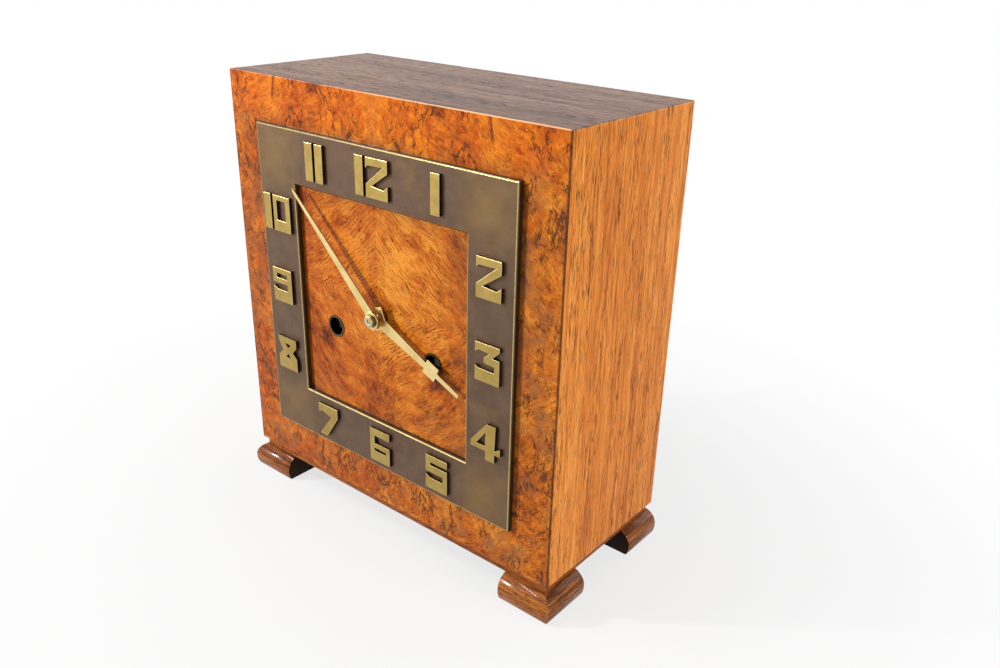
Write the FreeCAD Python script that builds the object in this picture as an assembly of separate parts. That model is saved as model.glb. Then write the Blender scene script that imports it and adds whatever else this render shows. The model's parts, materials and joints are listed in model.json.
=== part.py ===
import FreeCAD, Part
import os
from math import acos, atan2, cos, degrees, hypot, radians, sin, sqrt

os.makedirs("parts", exist_ok=True)
Vec = FreeCAD.Vector

# Millimetres. Depths run back from the case's front face, heights up from the floor.
# Directions
BACKWARD = Vec(0, 1, 0)
FULL_TURN = 360.0
HALF_TURN = 180.0

# Small turned metal parts inside the case are drawn with a few flat sides
PIN_SIDES = 6
SMALL_SIDES = 8
KNUCKLE_SIDES = 16
DISC_SIDES = 32

# Case boards
CASE_HALF_WIDTH = 120.0
CASE_HEIGHT = 242.0
CASE_DEPTH = 107.0
WALL = 9.0
VENEER = 1.0
VENEER_SEAM_X = -3.0
VENEER_SEAM_GAP = 0.05
FRONT_BOARD = 6.0
DOOR = 8.0
DOOR_GAP = 0.4
HAND_HOLE_RADIUS = 4.5

# Plinth and feet
PLINTH_HEIGHT = 5.6
PLINTH_SET_BACK = 2.4
FOOT_HEIGHT = 15.2
FOOT_LENGTH = 34.5
FOOT_BULGE = 4.0
FOOT_TOE = 2.4
FOOT_BULGE_HEIGHT = 5.6
FOOT_UPPER_CURVE_SHARE = 0.7
FOOT_LOWER_CURVE_SHARE = 0.25

# Hinges and pull of the back door
HINGE_HEIGHT = 30.0
HINGE_OFFSET = 72.0
HINGE_LEAF = 1.0
HINGE_LEAF_WIDTH = 8.0
KNUCKLE_RADIUS = 1.8
KNUCKLE_STAND_OFF = 1.9
KNUCKLE_GAP = 0.3
HINGE_PIN_RADIUS = 0.7
PULL_INSET = 14.0
PULL_NECK_RADIUS = 3.0
PULL_HEAD_RADIUS = 5.6
PULL_NECK = 5.5
PULL_HEAD = 3.5

# Dial frame and numerals
DIAL_RISE = 122.0
FRAME_HALF = 95.0
FRAME_WINDOW_HALF = 64.1
FRAME_DROP = 1.1
FRAME_THICK = 3.1
FRAME_BEVEL = 0.65
NUMERAL_HEIGHT = 21.2
NUMERAL_THICK = 1.8
NUMERAL_FAR = 79.6
NUMERAL_NEAR = 44.7
NUMERAL_PAIR_GAP = 2.0

# Each digit: width, outline and inner gaps in shares of its width and of the height, from the top left
BAR_SHARES = [(0, 0), (1, 0), (1, 1), (0, 1)]
ZERO_GAP_SHARES = [(0.217, 0.136), (0.728, 0.136), (0.728, 0.687), (0.217, 0.687)]
TWO_SHARES = [(0, 0), (1, 0), (1, 0.32), (0.27, 0.694), (0.82, 0.736), (1, 0.626), (1, 1), (0, 1),
              (0, 0.668), (0.79, 0.189), (0.1, 0.208), (0, 0.279)]
THREE_SHARES = [(0, 0), (1, 0), (1, 0.113), (0.715, 0.317), (1, 0.325), (1, 1), (0, 1), (0, 0.619),
                (0.175, 0.672), (0.795, 0.679), (0.8, 0.521), (0.41, 0.509), (0.355, 0.464),
                (0.375, 0.366), (0.59, 0.215), (0.15, 0.2), (0, 0.272)]
FOUR_SHARES = [(0.53, 0), (0.838, 0), (0.81, 0.653), (1, 0.547), (1, 0.766), (0.81, 0.766), (0.81, 1),
               (0.502, 1), (0.502, 0.758), (0, 0.747), (0, 0.592)]
FOUR_GAP_SHARES = [(0.502, 0.238), (0.19, 0.623), (0.494, 0.615)]
FIVE_SHARES = [(0, 0), (1, 0), (1, 0.2), (0.22, 0.2), (0.22, 0.29), (1, 0.29), (1, 1), (0, 1),
               (0, 0.589), (0.22, 0.668), (0.8, 0.679), (0.8, 0.502), (0, 0.502)]
SIX_SHARES = [(0, 0), (1, 0), (1, 0.219), (0.235, 0.219), (0.235, 0.453), (1, 0.453), (1, 1), (0, 1)]
SIX_GAP_SHARES = [(0.22, 0.604), (0.81, 0.604), (0.81, 0.694), (0.22, 0.694)]
SEVEN_SHARES = [(0, 0), (1, 0), (1, 0.287), (0.4, 1), (0.038, 1), (0.038, 0.958), (0.648, 0.34),
                (0.162, 0.226), (0, 0.287)]
EIGHT_SHARES = [(0, 0), (1, 0), (1, 0.242), (0.786, 0.426), (1, 0.589), (1, 1), (0, 1), (0, 0.611),
                (0.248, 0.43), (0.048, 0.17)]
EIGHT_UPPER_GAP_SHARES = [(0.357, 0.189), (0.69, 0.208), (0.524, 0.321)]
EIGHT_LOWER_GAP_SHARES = [(0.381, 0.623), (0.524, 0.509), (0.667, 0.642)]
NINE_SHARES = [(0, 0), (1, 0), (1, 1), (0, 1), (0, 0.566), (0.214, 0.642), (0.762, 0.642),
               (0.762, 0.453), (0, 0.453)]
NINE_GAP_SHARES = [(0.214, 0.166), (0.762, 0.166), (0.762, 0.294), (0.214, 0.294)]
BAR_WIDTH = 6.1
ZERO_WIDTH = 14.7
PLAIN_WIDTH = 16.0
FOUR_WIDTH = 19.8
BROAD_WIDTH = 16.8
DIGITS = {
    "0": (ZERO_WIDTH, BAR_SHARES, [ZERO_GAP_SHARES]),
    "1": (BAR_WIDTH, BAR_SHARES, []),
    "2": (PLAIN_WIDTH, TWO_SHARES, []),
    "3": (PLAIN_WIDTH, THREE_SHARES, []),
    "4": (FOUR_WIDTH, FOUR_SHARES, [FOUR_GAP_SHARES]),
    "5": (PLAIN_WIDTH, FIVE_SHARES, []),
    "6": (PLAIN_WIDTH, SIX_SHARES, [SIX_GAP_SHARES]),
    "7": (BROAD_WIDTH, SEVEN_SHARES, []),
    "8": (BROAD_WIDTH, EIGHT_SHARES, [EIGHT_UPPER_GAP_SHARES, EIGHT_LOWER_GAP_SHARES]),
    "9": (BROAD_WIDTH, NINE_SHARES, [NINE_GAP_SHARES]),
}

# Winding holes
WINDING_X = 38.25
WINDING_DROP = 16.6
FERRULE_RADIUS = 6.1
FERRULE_INNER_RADIUS = 5.3
FERRULE_LIP_RADIUS = 6.6
FERRULE_LIP = 0.4
FERRULE_LENGTH = 6.5

# Hands, along and across their own length
MINUTE_BEARING = 135.5
MINUTE_LENGTH = 88.0
MINUTE_HUB_WIDTH = 6.2
MINUTE_TIP_WIDTH = 1.6
MINUTE_POINT = 1.7
MINUTE_PLATE_HALF_DIAGONAL = 5.7
MINUTE_DEPTH = -6.8
MINUTE_BOSS_RADIUS = 5.1
MINUTE_BOSS_DEPTH = -8.0
MINUTE_WELL_RADIUS = 3.6
MINUTE_WELL_DEPTH = -7.2
HAND_THICK = 0.8
HOUR_BEARING = -24.4
HOUR_LENGTH = 65.7
HOUR_HUB_WIDTH = 7.8
HOUR_NECK_WIDTH = 3.8
HOUR_BLOCK_HALF = 4.5
HOUR_BLOCK_ALONG = 44.2
HOUR_TIP_START_WIDTH = 3.0
HOUR_TIP_WIDTH = 2.4
HOUR_PLATE_HALF_DIAGONAL = 8.9
HOUR_DEPTH = -4.2
NUT_RADIUS = 3.25
NUT_FRONT = -10.4
CENTRE_ARBOR_FRONT = -9.8

# Clearances of turning parts
RUN = 0.05
END_SHAKE = 0.3

# Movement frame
PLATE_FRONT = 17.0
PLATE = 1.8
PLATE_GAP = 34.0
PLATE_HALF_WIDTH = 59.0
PLATE_BOTTOM = -46.0
PLATE_TOP = 56.0
PILLAR_X = 54.0
PILLAR_LOW = -41.0
PILLAR_HIGH = 49.0
PILLAR_RADIUS = 3.0
PILLAR_STUD_RADIUS = 1.5
PILLAR_STUD_LENGTH = 4.6
PILLAR_NUT = 2.2
PILLAR_NUT_RADIUS = 3.0
POST_RADIUS = 4.0
PIVOT_RADIUS = 0.5
PIVOT_REACH = 0.4

# Tooth form in shares of the module
ADDENDUM_SHARE = 1.0
DEDENDUM_SHARE = 1.6

# Barrels and winding arbors, layers measured back from the front plate's rear face
GREAT_TEETH = 36
GREAT_MODULE = 1.3
GREAT_LAYER = (4.0, 6.5)
DRUM_LAYER = (6.5, 22.0)
DRUM_RADIUS = 20.5
ARBOR_COLLAR_RADIUS = 4.5
ARBOR_COLLAR = 1.9
WINDING_ARBOR_RADIUS = 2.6
WINDING_PIVOT_RADIUS = 1.6
WINDING_SQUARE_HALF = 2.1
WINDING_SQUARE_FRONT = 3.4
RATCHET_TEETH = 16
RATCHET_RADIUS = 11.0
RATCHET_ROOT_RADIUS = 9.4
RATCHET_FRONT = 14.0
RATCHET = 2.0
RATCHET_PHASE = 60.0

# Clicks, placed around their ratchet; the lever's corners are distance from its centre and turn past a tooth
CLICK_PIVOT_RADIUS = 15.5
CLICK_PIVOT_TURN = 50.0
CLICK_BOSS_RADIUS = 2.4
CLICK_STUD_RADIUS = 1.0
CLICK_THICK = 1.6
CLICK_LEVER = [(9.8, 1.6), (11.5, 16.0), (13.8, 41.0), (17.0, 42.0), (12.4, 1.6)]

# Train wheels
PINION_LEAVES = 6
SECOND_PINION_LAYER = (3.0, 8.0)
SECOND_TEETH = 36
SECOND_MODULE = 1.05
SECOND_LAYER = (24.0, 26.0)
SECOND_ARBOR_RADIUS = 1.5
DRIVEN_PINION_LAYER = (23.0, 27.0)
CENTRE_TEETH = 72
FINE_MODULE = 0.55
CENTRE_LAYER = (10.0, 12.0)
CENTRE_ARBOR_RADIUS = 1.1
CENTRE_BODY_RADIUS = 1.6
CENTRE_PIVOT_RADIUS = 0.9
THIRD_PINION_LAYER = (9.0, 13.0)
THIRD_TEETH = 60
THIRD_LAYER = (16.0, 18.0)
THIRD_BEARING = 50.0
FINE_ARBOR_RADIUS = 0.9
ESCAPE_PINION_LAYER = (15.0, 19.0)
ESCAPE_TEETH = 42
ESCAPE_RADIUS = 15.0
ESCAPE_ROOT_RADIUS = 13.2
ESCAPE_LAYER = (29.0, 30.5)

# Anchor, suspension and pendulum
PALLET_SPAN_TEETH = 8.5
PALLET_RADIUS = 16.0
PALLET_HALF_WIDTH = 3.0
ANCHOR_TOP = 2.6
ANCHOR_SHOULDER = (2.6, 2.3)
ANCHOR_ELBOW = (10.8, -1.6)
ANCHOR_ELBOW_LOW = (11.6, -3.4)
ANCHOR_ARMPIT = (8.4, -4.0)
ANCHOR_WAIST = (2.4, -2.4)
CRUTCH_HALF_WIDTH = 1.4
CRUTCH_PLATE_GAP = 0.8
CRUTCH_THICK = 1.2
CRUTCH_ARBOR_TAIL = 0.4
CRUTCH_TOP = 2.0
CRUTCH_DROP = 27.5
FORK_HEIGHT = 4.0
FORK_HALF_WIDTH = 3.6
FORK_PIN_X = 2.4
FORK_PIN_RADIUS = 0.7
FORK_PIN_PAST_ROD = 0.6
PENDULUM_STAND_OFF = 8.0
COCK_PAD_HALF_WIDTH = 9.0
COCK_PAD = 2.4
COCK_PAD_LOW = 3.4
COCK_PAD_HIGH = 9.0
COCK_HALF_WIDTH = 4.0
COCK_ARM_LOW = 4.2
COCK_ARM_HIGH = 8.0
COCK_CHEEK_DROP = 2.0
COCK_CHEEK = 1.4
COCK_GAP_HALF = 2.9
SPRING_PIN_RADIUS = 0.6
SPRING_HALF_THICK = 0.15
SPRING_HALF_WIDTH = 2.5
SPRING_LENGTH = 8.0
SPRING_HEAD_HALF = 1.2
PENDULUM_LENGTH = 126.8
ROD_RADIUS = 1.4
ROD_HOOK_HALF = 1.6
ROD_HOOK_HEIGHT = 4.0
ROD_TAIL = 26.0
BOB_RADIUS = 15.0
BOB_HALF_THICK = 2.6
BOB_SLEEVE_RADIUS = 2.4
BOB_SLEEVE_DROP = 15.8
RATING_NUT_RADIUS = 4.0
RATING_NUT = 2.6
RATING_NUT_HUB_RADIUS = 2.4
RATING_NUT_HUB = 1.4

# Motion work behind the dial
CANNON_LEAVES = 10
MINUTE_WHEEL_TEETH = 30
MOTION_MODULE = 0.75
CANNON_FRONT = 12.0
CANNON_REAR = 16.0
CANNON_RADIUS = 2.1
CANNON_PIPE_FRONT = -7.15
MINUTE_WHEEL_FRONT = 13.0
MINUTE_WHEEL = 1.5
MINUTE_PINION_LEAVES = 8
HOUR_TEETH = 32
MINUTE_PINION_FRONT = 8.6
HOUR_WHEEL_FRONT = 9.0
HOUR_WHEEL = 1.5
HOUR_PIPE_RADIUS = 3.2
HOUR_PIPE_FRONT = -4.4
MINUTE_STUD_RADIUS = 1.2
MINUTE_STUD_FRONT = 8.2

# Strike train
STRIKE_SECOND_BEARING = 77.5
PIN_WHEEL_BEARING = 57.6
PIN_WHEEL_TEETH = 48
STRIKE_MODULE = 0.6
PIN_WHEEL_LAYER = (16.0, 18.0)
PIN_COUNT = 8
PIN_CIRCLE_RADIUS = 11.0
PIN_RADIUS = 0.6
PIN_LAYER = (18.0, 20.5)
WARNING_BEARING = 160.0
WARNING_TEETH = 40
WARNING_LAYER = (10.0, 12.0)
WARNING_PINION_LAYER = (15.0, 19.0)
WARNING_PIN_RADIUS = 10.0
FLY_BEARING = 100.0
FLY_PINION_LAYER = (9.0, 13.0)
FLY_LAYER = (20.0, 31.0)
FLY_HALF_WIDTH = 8.0
FLY_HALF_THICK = 0.25
FLY_TILT = 20.0

# Hammer and gong, heights from the dial's centre
HAMMER_X = -54.0
HAMMER_Z = 28.0
HAMMER_ARBOR_RADIUS = 1.5
HAMMER_TAIL_LAYER = (18.3, 20.3)
HAMMER_TAIL_HUB_RADIUS = 3.2
HAMMER_TAIL_ROOT_HALF = 1.8
HAMMER_TAIL_END_HALF = 0.9
HAMMER_TAIL_GAP = 0.6
HAMMER_ARM_HALF = 1.2
HAMMER_HUB_RADIUS = 3.6
HAMMER_FACE_HALF = 2.2
HAMMER_NOSE_LENGTH = 2.5
HAMMER_HEAD_HALF = 4.0
HAMMER_HEAD_LENGTH = 12.0
HAMMER_REST_GAP = 0.4
GONG_X = -50.0
GONG_Z = -72.0
GONG_FRONT = 71.0
GONG_REAR = 73.5
GONG_EYE_RADIUS = 7.0
GONG_INNER_RADIUS = 6.5
GONG_OUTER_RADIUS = 35.9
GONG_HALF_WIDTH = 1.1
GONG_TURNS = 3
GONG_STEPS_PER_TURN = 16
GONG_STRIKE_BEARING = 37.3
GONG_END_PAST_STRIKE = 45.0
GONG_STUD_RADIUS = 3.0
GONG_STUD_REACH = 1.5
GONG_POST_HALF_WIDTH = 4.5
GONG_POST_DEPTH = 10.0
GONG_POST_RISE = 8.0
GONG_FOOT_HALF_WIDTH = 16.0
GONG_FOOT_DEPTH = 18.0
GONG_FOOT_HEIGHT = 6.0


def block(x0, x1, y0, y1, z0, z1):
    return Part.makeBox(x1 - x0, y1 - y0, z1 - z0, Vec(x0, y0, z0))


def flat(points, front, rear):
    corners = [Vec(x, front, z) for x, z in points]
    return Part.Face(Part.makePolygon(corners + corners[:1])).extrude(Vec(0, rear - front, 0))


def rod(centre, radius, front, rear):
    return Part.makeCylinder(radius, rear - front, Vec(centre[0], front, centre[1]), BACKWARD)


def joined(*shapes):
    return shapes[0].multiFuse(list(shapes[1:])).removeSplitter()


def polar(centre, radius, bearing):
    return centre[0] + radius * cos(radians(bearing)), centre[1] + radius * sin(radians(bearing))


def ring(centre, radius, sides=SMALL_SIDES):
    return [polar(centre, radius, side * FULL_TURN / sides) for side in range(sides)]


def ring_around(centre, radius, sides=SMALL_SIDES):
    # outline of a hole in which a bar of this radius turns freely
    return ring(centre, (radius + RUN) / cos(radians(HALF_TURN / sides)), sides)


def bar(centre, radius, front, rear, sides=SMALL_SIDES):
    return flat(ring(centre, radius, sides), front, rear)


def bore(centre, radius, front, rear, sides=SMALL_SIDES):
    return flat(ring_around(centre, radius, sides), front, rear)


def stepped(centre, depths, radii):
    # one bar along the depth; radii[i] holds from depths[i] to depths[i + 1]
    spans = zip(radii, depths, depths[1:])
    return joined(*[bar(centre, radius, front, rear) for radius, front, rear in spans])


def upright(outline, low, high):
    # an outline across and along the depth, raised between two heights
    corners = [Vec(x, y, low) for x, y in outline]
    return Part.Face(Part.makePolygon(corners + corners[:1])).extrude(Vec(0, 0, high - low))


def bearing_of(start, end):
    return degrees(atan2(end[1] - start[1], end[0] - start[0]))


def reach_from_two(first, second, first_reach, second_reach):
    # the lower of the two points at the given distances from two known points
    span = hypot(second[0] - first[0], second[1] - first[1])
    turn = degrees(acos((first_reach ** 2 + span ** 2 - second_reach ** 2) / (2 * first_reach * span)))
    return polar(first, first_reach, bearing_of(first, second) + turn)


def along(start, bearing, points):
    # points given along and across a line become points of the front view
    c = cos(radians(bearing))
    s = sin(radians(bearing))
    return [(start[0] + u * c - v * s, start[1] + u * s + v * c) for u, v in points]


def mirrored(points):
    return points + [(u, -v) for u, v in reversed(points)]


def pitch_radius(teeth, module):
    return teeth * module / 2


def gear(centre, teeth, module, phase, layer):
    pitch = FULL_TURN / teeth
    tip = pitch_radius(teeth, module) + ADDENDUM_SHARE * module
    root = pitch_radius(teeth, module) - DEDENDUM_SHARE * module
    points = []
    for tooth in range(teeth):
        middle = phase + tooth * pitch
        points.append(polar(centre, root, middle - pitch / 2))
        points.append(polar(centre, tip, middle))
    return flat(points, *layer)


def meshing_phase(first, second, first_teeth, second_teeth, first_phase=0):
    # phase that puts the second gear's gap on the first gear's tooth
    line = bearing_of(first, second)
    share = first_teeth / second_teeth
    return line + HALF_TURN - share * (first_phase - line) - HALF_TURN / second_teeth


def saw_wheel(centre, teeth, tip, root, phase, layer, steep_side_last):
    pitch = FULL_TURN / teeth
    points = []
    for tooth in range(teeth):
        bearing = phase + tooth * pitch
        pair = [polar(centre, root, bearing), polar(centre, tip, bearing)]
        points.extend(reversed(pair) if steep_side_last else pair)
    return flat(points, *layer)


def behind_plate(layer):
    return PLATE_REAR + layer[0], PLATE_REAR + layer[1]


def arbor(centre, radius):
    depths = [PLATE_FRONT - PIVOT_REACH, PLATE_REAR + END_SHAKE]
    depths += [BACK_PLATE_FRONT - END_SHAKE, BACK_PLATE_REAR + PIVOT_REACH]
    return stepped(centre, depths, [PIVOT_RADIUS, radius, PIVOT_RADIUS])


def save(name, shape):
    shape = shape.copy()
    shape.translate(Vec(0, ORIGIN_SHIFT, 0))
    shape.exportStep("parts/" + name + ".step")


# Derived places
CASE_BOTTOM = FOOT_HEIGHT + PLINTH_HEIGHT
CASE_TOP = CASE_BOTTOM + CASE_HEIGHT
FLOOR_INSIDE = CASE_BOTTOM + WALL
CEILING_INSIDE = CASE_TOP - WALL
INNER_HALF_WIDTH = CASE_HALF_WIDTH - WALL
FRONT_BOARD_REAR = VENEER + FRONT_BOARD
DOOR_FRONT = CASE_DEPTH - DOOR
REAR_REACH = CASE_DEPTH + PULL_NECK + PULL_HEAD
ORIGIN_SHIFT = -(REAR_REACH + NUT_FRONT) / 2
DIAL = (0, CASE_BOTTOM + DIAL_RISE)
FRAME_MIDDLE = (DIAL[0], DIAL[1] - FRAME_DROP)
PLATE_REAR = PLATE_FRONT + PLATE
BACK_PLATE_FRONT = PLATE_REAR + PLATE_GAP
BACK_PLATE_REAR = BACK_PLATE_FRONT + PLATE
PENDULUM_DEPTH = BACK_PLATE_REAR + PENDULUM_STAND_OFF

# Case boards
save("top_board", block(-CASE_HALF_WIDTH, CASE_HALF_WIDTH, VENEER, CASE_DEPTH, CEILING_INSIDE, CASE_TOP))
save("left_side", block(-CASE_HALF_WIDTH, -INNER_HALF_WIDTH, VENEER, CASE_DEPTH, CASE_BOTTOM, CEILING_INSIDE))
save("right_side", block(INNER_HALF_WIDTH, CASE_HALF_WIDTH, VENEER, CASE_DEPTH, CASE_BOTTOM, CEILING_INSIDE))
save("bottom_board", block(-INNER_HALF_WIDTH, INNER_HALF_WIDTH, VENEER, CASE_DEPTH,
                           CASE_BOTTOM, FLOOR_INSIDE))

# Front board and its two veneer leaves, with the holes for the hands and the winding keys
GOING_BARREL = (DIAL[0] + WINDING_X, DIAL[1] - WINDING_DROP)
STRIKE_BARREL = (DIAL[0] - WINDING_X, DIAL[1] - WINDING_DROP)
front_holes = [bore(DIAL, HAND_HOLE_RADIUS, 0, FRONT_BOARD_REAR)]
for place in (GOING_BARREL, STRIKE_BARREL):
    front_holes.append(bore(place, FERRULE_RADIUS, 0, FRONT_BOARD_REAR, KNUCKLE_SIDES))
board = block(-INNER_HALF_WIDTH, INNER_HALF_WIDTH, VENEER, FRONT_BOARD_REAR, FLOOR_INSIDE, CEILING_INSIDE)
save("front_board", board.cut(Part.makeCompound(front_holes)))
left_leaf = block(-CASE_HALF_WIDTH, VENEER_SEAM_X - VENEER_SEAM_GAP, 0, VENEER, CASE_BOTTOM, CASE_TOP)
right_leaf = block(VENEER_SEAM_X, CASE_HALF_WIDTH, 0, VENEER, CASE_BOTTOM, CASE_TOP)
save("front_veneer", Part.makeCompound([left_leaf, right_leaf]).cut(Part.makeCompound(front_holes)))

# Plinth
plinth_half = CASE_HALF_WIDTH - PLINTH_SET_BACK
plinth_rear = CASE_DEPTH - PLINTH_SET_BACK
save("plinth", block(-plinth_half, plinth_half, PLINTH_SET_BACK, plinth_rear, FOOT_HEIGHT, CASE_BOTTOM))


# Feet: a quarter-round moulding that swells out from the plinth and is drawn in at the floor
def foot_outline(point, inward):
    # point(out, z) places a corner; out is the reach past the case's side
    swell = FOOT_BULGE + PLINTH_SET_BACK
    rise = FOOT_HEIGHT - FOOT_BULGE_HEIGHT
    top = point(-PLINTH_SET_BACK, FOOT_HEIGHT)
    upper_out = -PLINTH_SET_BACK + swell * FOOT_UPPER_CURVE_SHARE
    upper = point(upper_out, FOOT_BULGE_HEIGHT + rise * FOOT_UPPER_CURVE_SHARE)
    widest = point(FOOT_BULGE, FOOT_BULGE_HEIGHT)
    lower_out = FOOT_BULGE - (FOOT_BULGE - FOOT_TOE) * FOOT_LOWER_CURVE_SHARE
    lower = point(lower_out, FOOT_BULGE_HEIGHT * FOOT_LOWER_CURVE_SHARE * 2)
    toe = point(FOOT_TOE, 0)
    inner_low = point(inward, 0)
    inner_high = point(inward, FOOT_HEIGHT)
    edges = [Part.Arc(top, upper, widest).toShape(), Part.Arc(widest, lower, toe).toShape()]
    for start, end in ((toe, inner_low), (inner_low, inner_high), (inner_high, top)):
        edges.append(Part.makeLine(start, end))
    return Part.Face(Part.Wire(edges))


foot_reach = FOOT_BULGE - FOOT_LENGTH
side_run = CASE_DEPTH + FOOT_BULGE + FOOT_BULGE
side_bar = foot_outline(lambda out, z: Vec(CASE_HALF_WIDTH + out, -FOOT_BULGE, z), foot_reach)
side_bar = side_bar.extrude(Vec(0, side_run, 0))
front_bar = foot_outline(lambda out, z: Vec(0, -out, z), foot_reach)
front_bar = front_bar.extrude(Vec(CASE_HALF_WIDTH + FOOT_BULGE, 0, 0))
front_foot = side_bar.common(front_bar)
rear_span = block(0, CASE_HALF_WIDTH + FOOT_BULGE, CASE_DEPTH + foot_reach, CASE_DEPTH, 0, FOOT_HEIGHT)
rear_foot = side_bar.common(rear_span)
right_feet = Part.makeCompound([front_foot, rear_foot])
left_feet = right_feet.mirror(Vec(0, 0, 0), Vec(1, 0, 0))
save("feet", Part.makeCompound([right_feet, left_feet]))

# Back door with its pull
door_half = INNER_HALF_WIDTH - DOOR_GAP
save("back_door", block(-door_half, door_half, DOOR_FRONT, CASE_DEPTH,
                        FLOOR_INSIDE + DOOR_GAP, CEILING_INSIDE - DOOR_GAP))
pull_place = (PULL_INSET - door_half, DIAL[1])
save("door_pull", joined(bar(pull_place, PULL_NECK_RADIUS, CASE_DEPTH, CASE_DEPTH + PULL_NECK, KNUCKLE_SIDES),
                         rod(pull_place, PULL_HEAD_RADIUS, CASE_DEPTH + PULL_NECK, REAR_REACH)))

# Two three-knuckle hinges on the right side; the fixed leaf carries the pin
HINGE_AXIS_X = INNER_HALF_WIDTH - DOOR_GAP / 2
HINGE_AXIS_Y = CASE_DEPTH + KNUCKLE_STAND_OFF
KNUCKLE_LENGTH = HINGE_HEIGHT / 3
LEAF_START = KNUCKLE_RADIUS + KNUCKLE_GAP


def knuckle(bottom, top, radius):
    return upright(ring((HINGE_AXIS_X, HINGE_AXIS_Y), radius, KNUCKLE_SIDES), bottom, top)


def leaf_strip(start, end, bottom, top):
    x0, x1 = sorted((HINGE_AXIS_X + start, HINGE_AXIS_X + end))
    return block(x0, x1, CASE_DEPTH, CASE_DEPTH + HINGE_LEAF, bottom, top)


fixed_leaves = []
door_leaves = []
for middle in (DIAL[1] - HINGE_OFFSET, DIAL[1] + HINGE_OFFSET):
    low = middle - HINGE_HEIGHT / 2
    high = middle + HINGE_HEIGHT / 2
    gap_low = low + KNUCKLE_LENGTH
    gap_high = high - KNUCKLE_LENGTH
    hinge_pin = Part.makeCylinder(HINGE_PIN_RADIUS, high - low, Vec(HINGE_AXIS_X, HINGE_AXIS_Y, low))
    fixed = [leaf_strip(LEAF_START, HINGE_LEAF_WIDTH, low, high), hinge_pin]
    for bottom, top in ((low, gap_low), (gap_high, high)):
        fixed.append(leaf_strip(0, LEAF_START, bottom, top))
        fixed.append(knuckle(bottom, top, KNUCKLE_RADIUS))
    fixed_leaves.append(joined(*fixed))
    gap_low += KNUCKLE_GAP
    gap_high -= KNUCKLE_GAP
    moving = joined(leaf_strip(-LEAF_START, -HINGE_LEAF_WIDTH, low, high),
                    leaf_strip(0, -LEAF_START, gap_low, gap_high),
                    knuckle(gap_low, gap_high, KNUCKLE_RADIUS))
    pin_hole = upright(ring_around((HINGE_AXIS_X, HINGE_AXIS_Y), HINGE_PIN_RADIUS, KNUCKLE_SIDES), low, high)
    door_leaves.append(moving.cut(pin_hole))
save("case_hinges", Part.makeCompound(fixed_leaves))
save("door_hinge_leaves", Part.makeCompound(door_leaves))


# Dial frame with bevelled front edges
def square(half):
    return [(FRAME_MIDDLE[0] - half, FRAME_MIDDLE[1] - half), (FRAME_MIDDLE[0] + half, FRAME_MIDDLE[1] - half),
            (FRAME_MIDDLE[0] + half, FRAME_MIDDLE[1] + half), (FRAME_MIDDLE[0] - half, FRAME_MIDDLE[1] + half)]


frame = flat(square(FRAME_HALF), -FRAME_THICK, 0).cut(flat(square(FRAME_WINDOW_HALF), -FRAME_THICK, 0))
front_edges = []
for edge in frame.Edges:
    if edge.BoundBox.YMax < -FRAME_THICK + FRAME_BEVEL:
        front_edges.append(edge)
save("dial_frame", frame.makeChamfer(FRAME_BEVEL, front_edges))


# Raised numerals
def numeral(text, across, up):
    width = sum(DIGITS[digit][0] for digit in text) + NUMERAL_PAIR_GAP * (len(text) - 1)
    left = FRAME_MIDDLE[0] + across - width / 2
    top = FRAME_MIDDLE[1] + up + NUMERAL_HEIGHT / 2
    solids = []
    for digit in text:
        digit_width, outline, gaps = DIGITS[digit]
        pieces = []
        for shares in [outline] + gaps:
            points = [(left + u * digit_width, top - v * NUMERAL_HEIGHT) for u, v in shares]
            pieces.append(flat(points, -FRAME_THICK - NUMERAL_THICK, -FRAME_THICK))
        solid = pieces[0]
        for gap in pieces[1:]:
            solid = solid.cut(gap)
        solids.append(solid)
        left += digit_width + NUMERAL_PAIR_GAP
    return Part.makeCompound(solids)


NUMERAL_PLACES = {
    1: (NUMERAL_NEAR, NUMERAL_FAR), 2: (NUMERAL_FAR, NUMERAL_NEAR), 3: (NUMERAL_FAR, 0),
    4: (NUMERAL_FAR, -NUMERAL_NEAR), 5: (NUMERAL_NEAR, -NUMERAL_FAR), 6: (0, -NUMERAL_FAR),
    7: (-NUMERAL_NEAR, -NUMERAL_FAR), 8: (-NUMERAL_FAR, -NUMERAL_NEAR), 9: (-NUMERAL_FAR, 0),
    10: (-NUMERAL_FAR, NUMERAL_NEAR), 11: (-NUMERAL_NEAR, NUMERAL_FAR), 12: (0, NUMERAL_FAR),
}
for hour, place in NUMERAL_PLACES.items():
    save("numeral_" + str(hour), numeral(str(hour), *place))

# Metal linings of the winding holes
linings = []
for place in (GOING_BARREL, STRIKE_BARREL):
    lining = joined(rod(place, FERRULE_LIP_RADIUS, -FERRULE_LIP, 0),
                    bar(place, FERRULE_RADIUS, 0, FERRULE_LENGTH, KNUCKLE_SIDES))
    linings.append(lining.cut(rod(place, FERRULE_INNER_RADIUS, -FERRULE_LIP, FERRULE_LENGTH)))
save("winding_ferrules", Part.makeCompound(linings))

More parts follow.
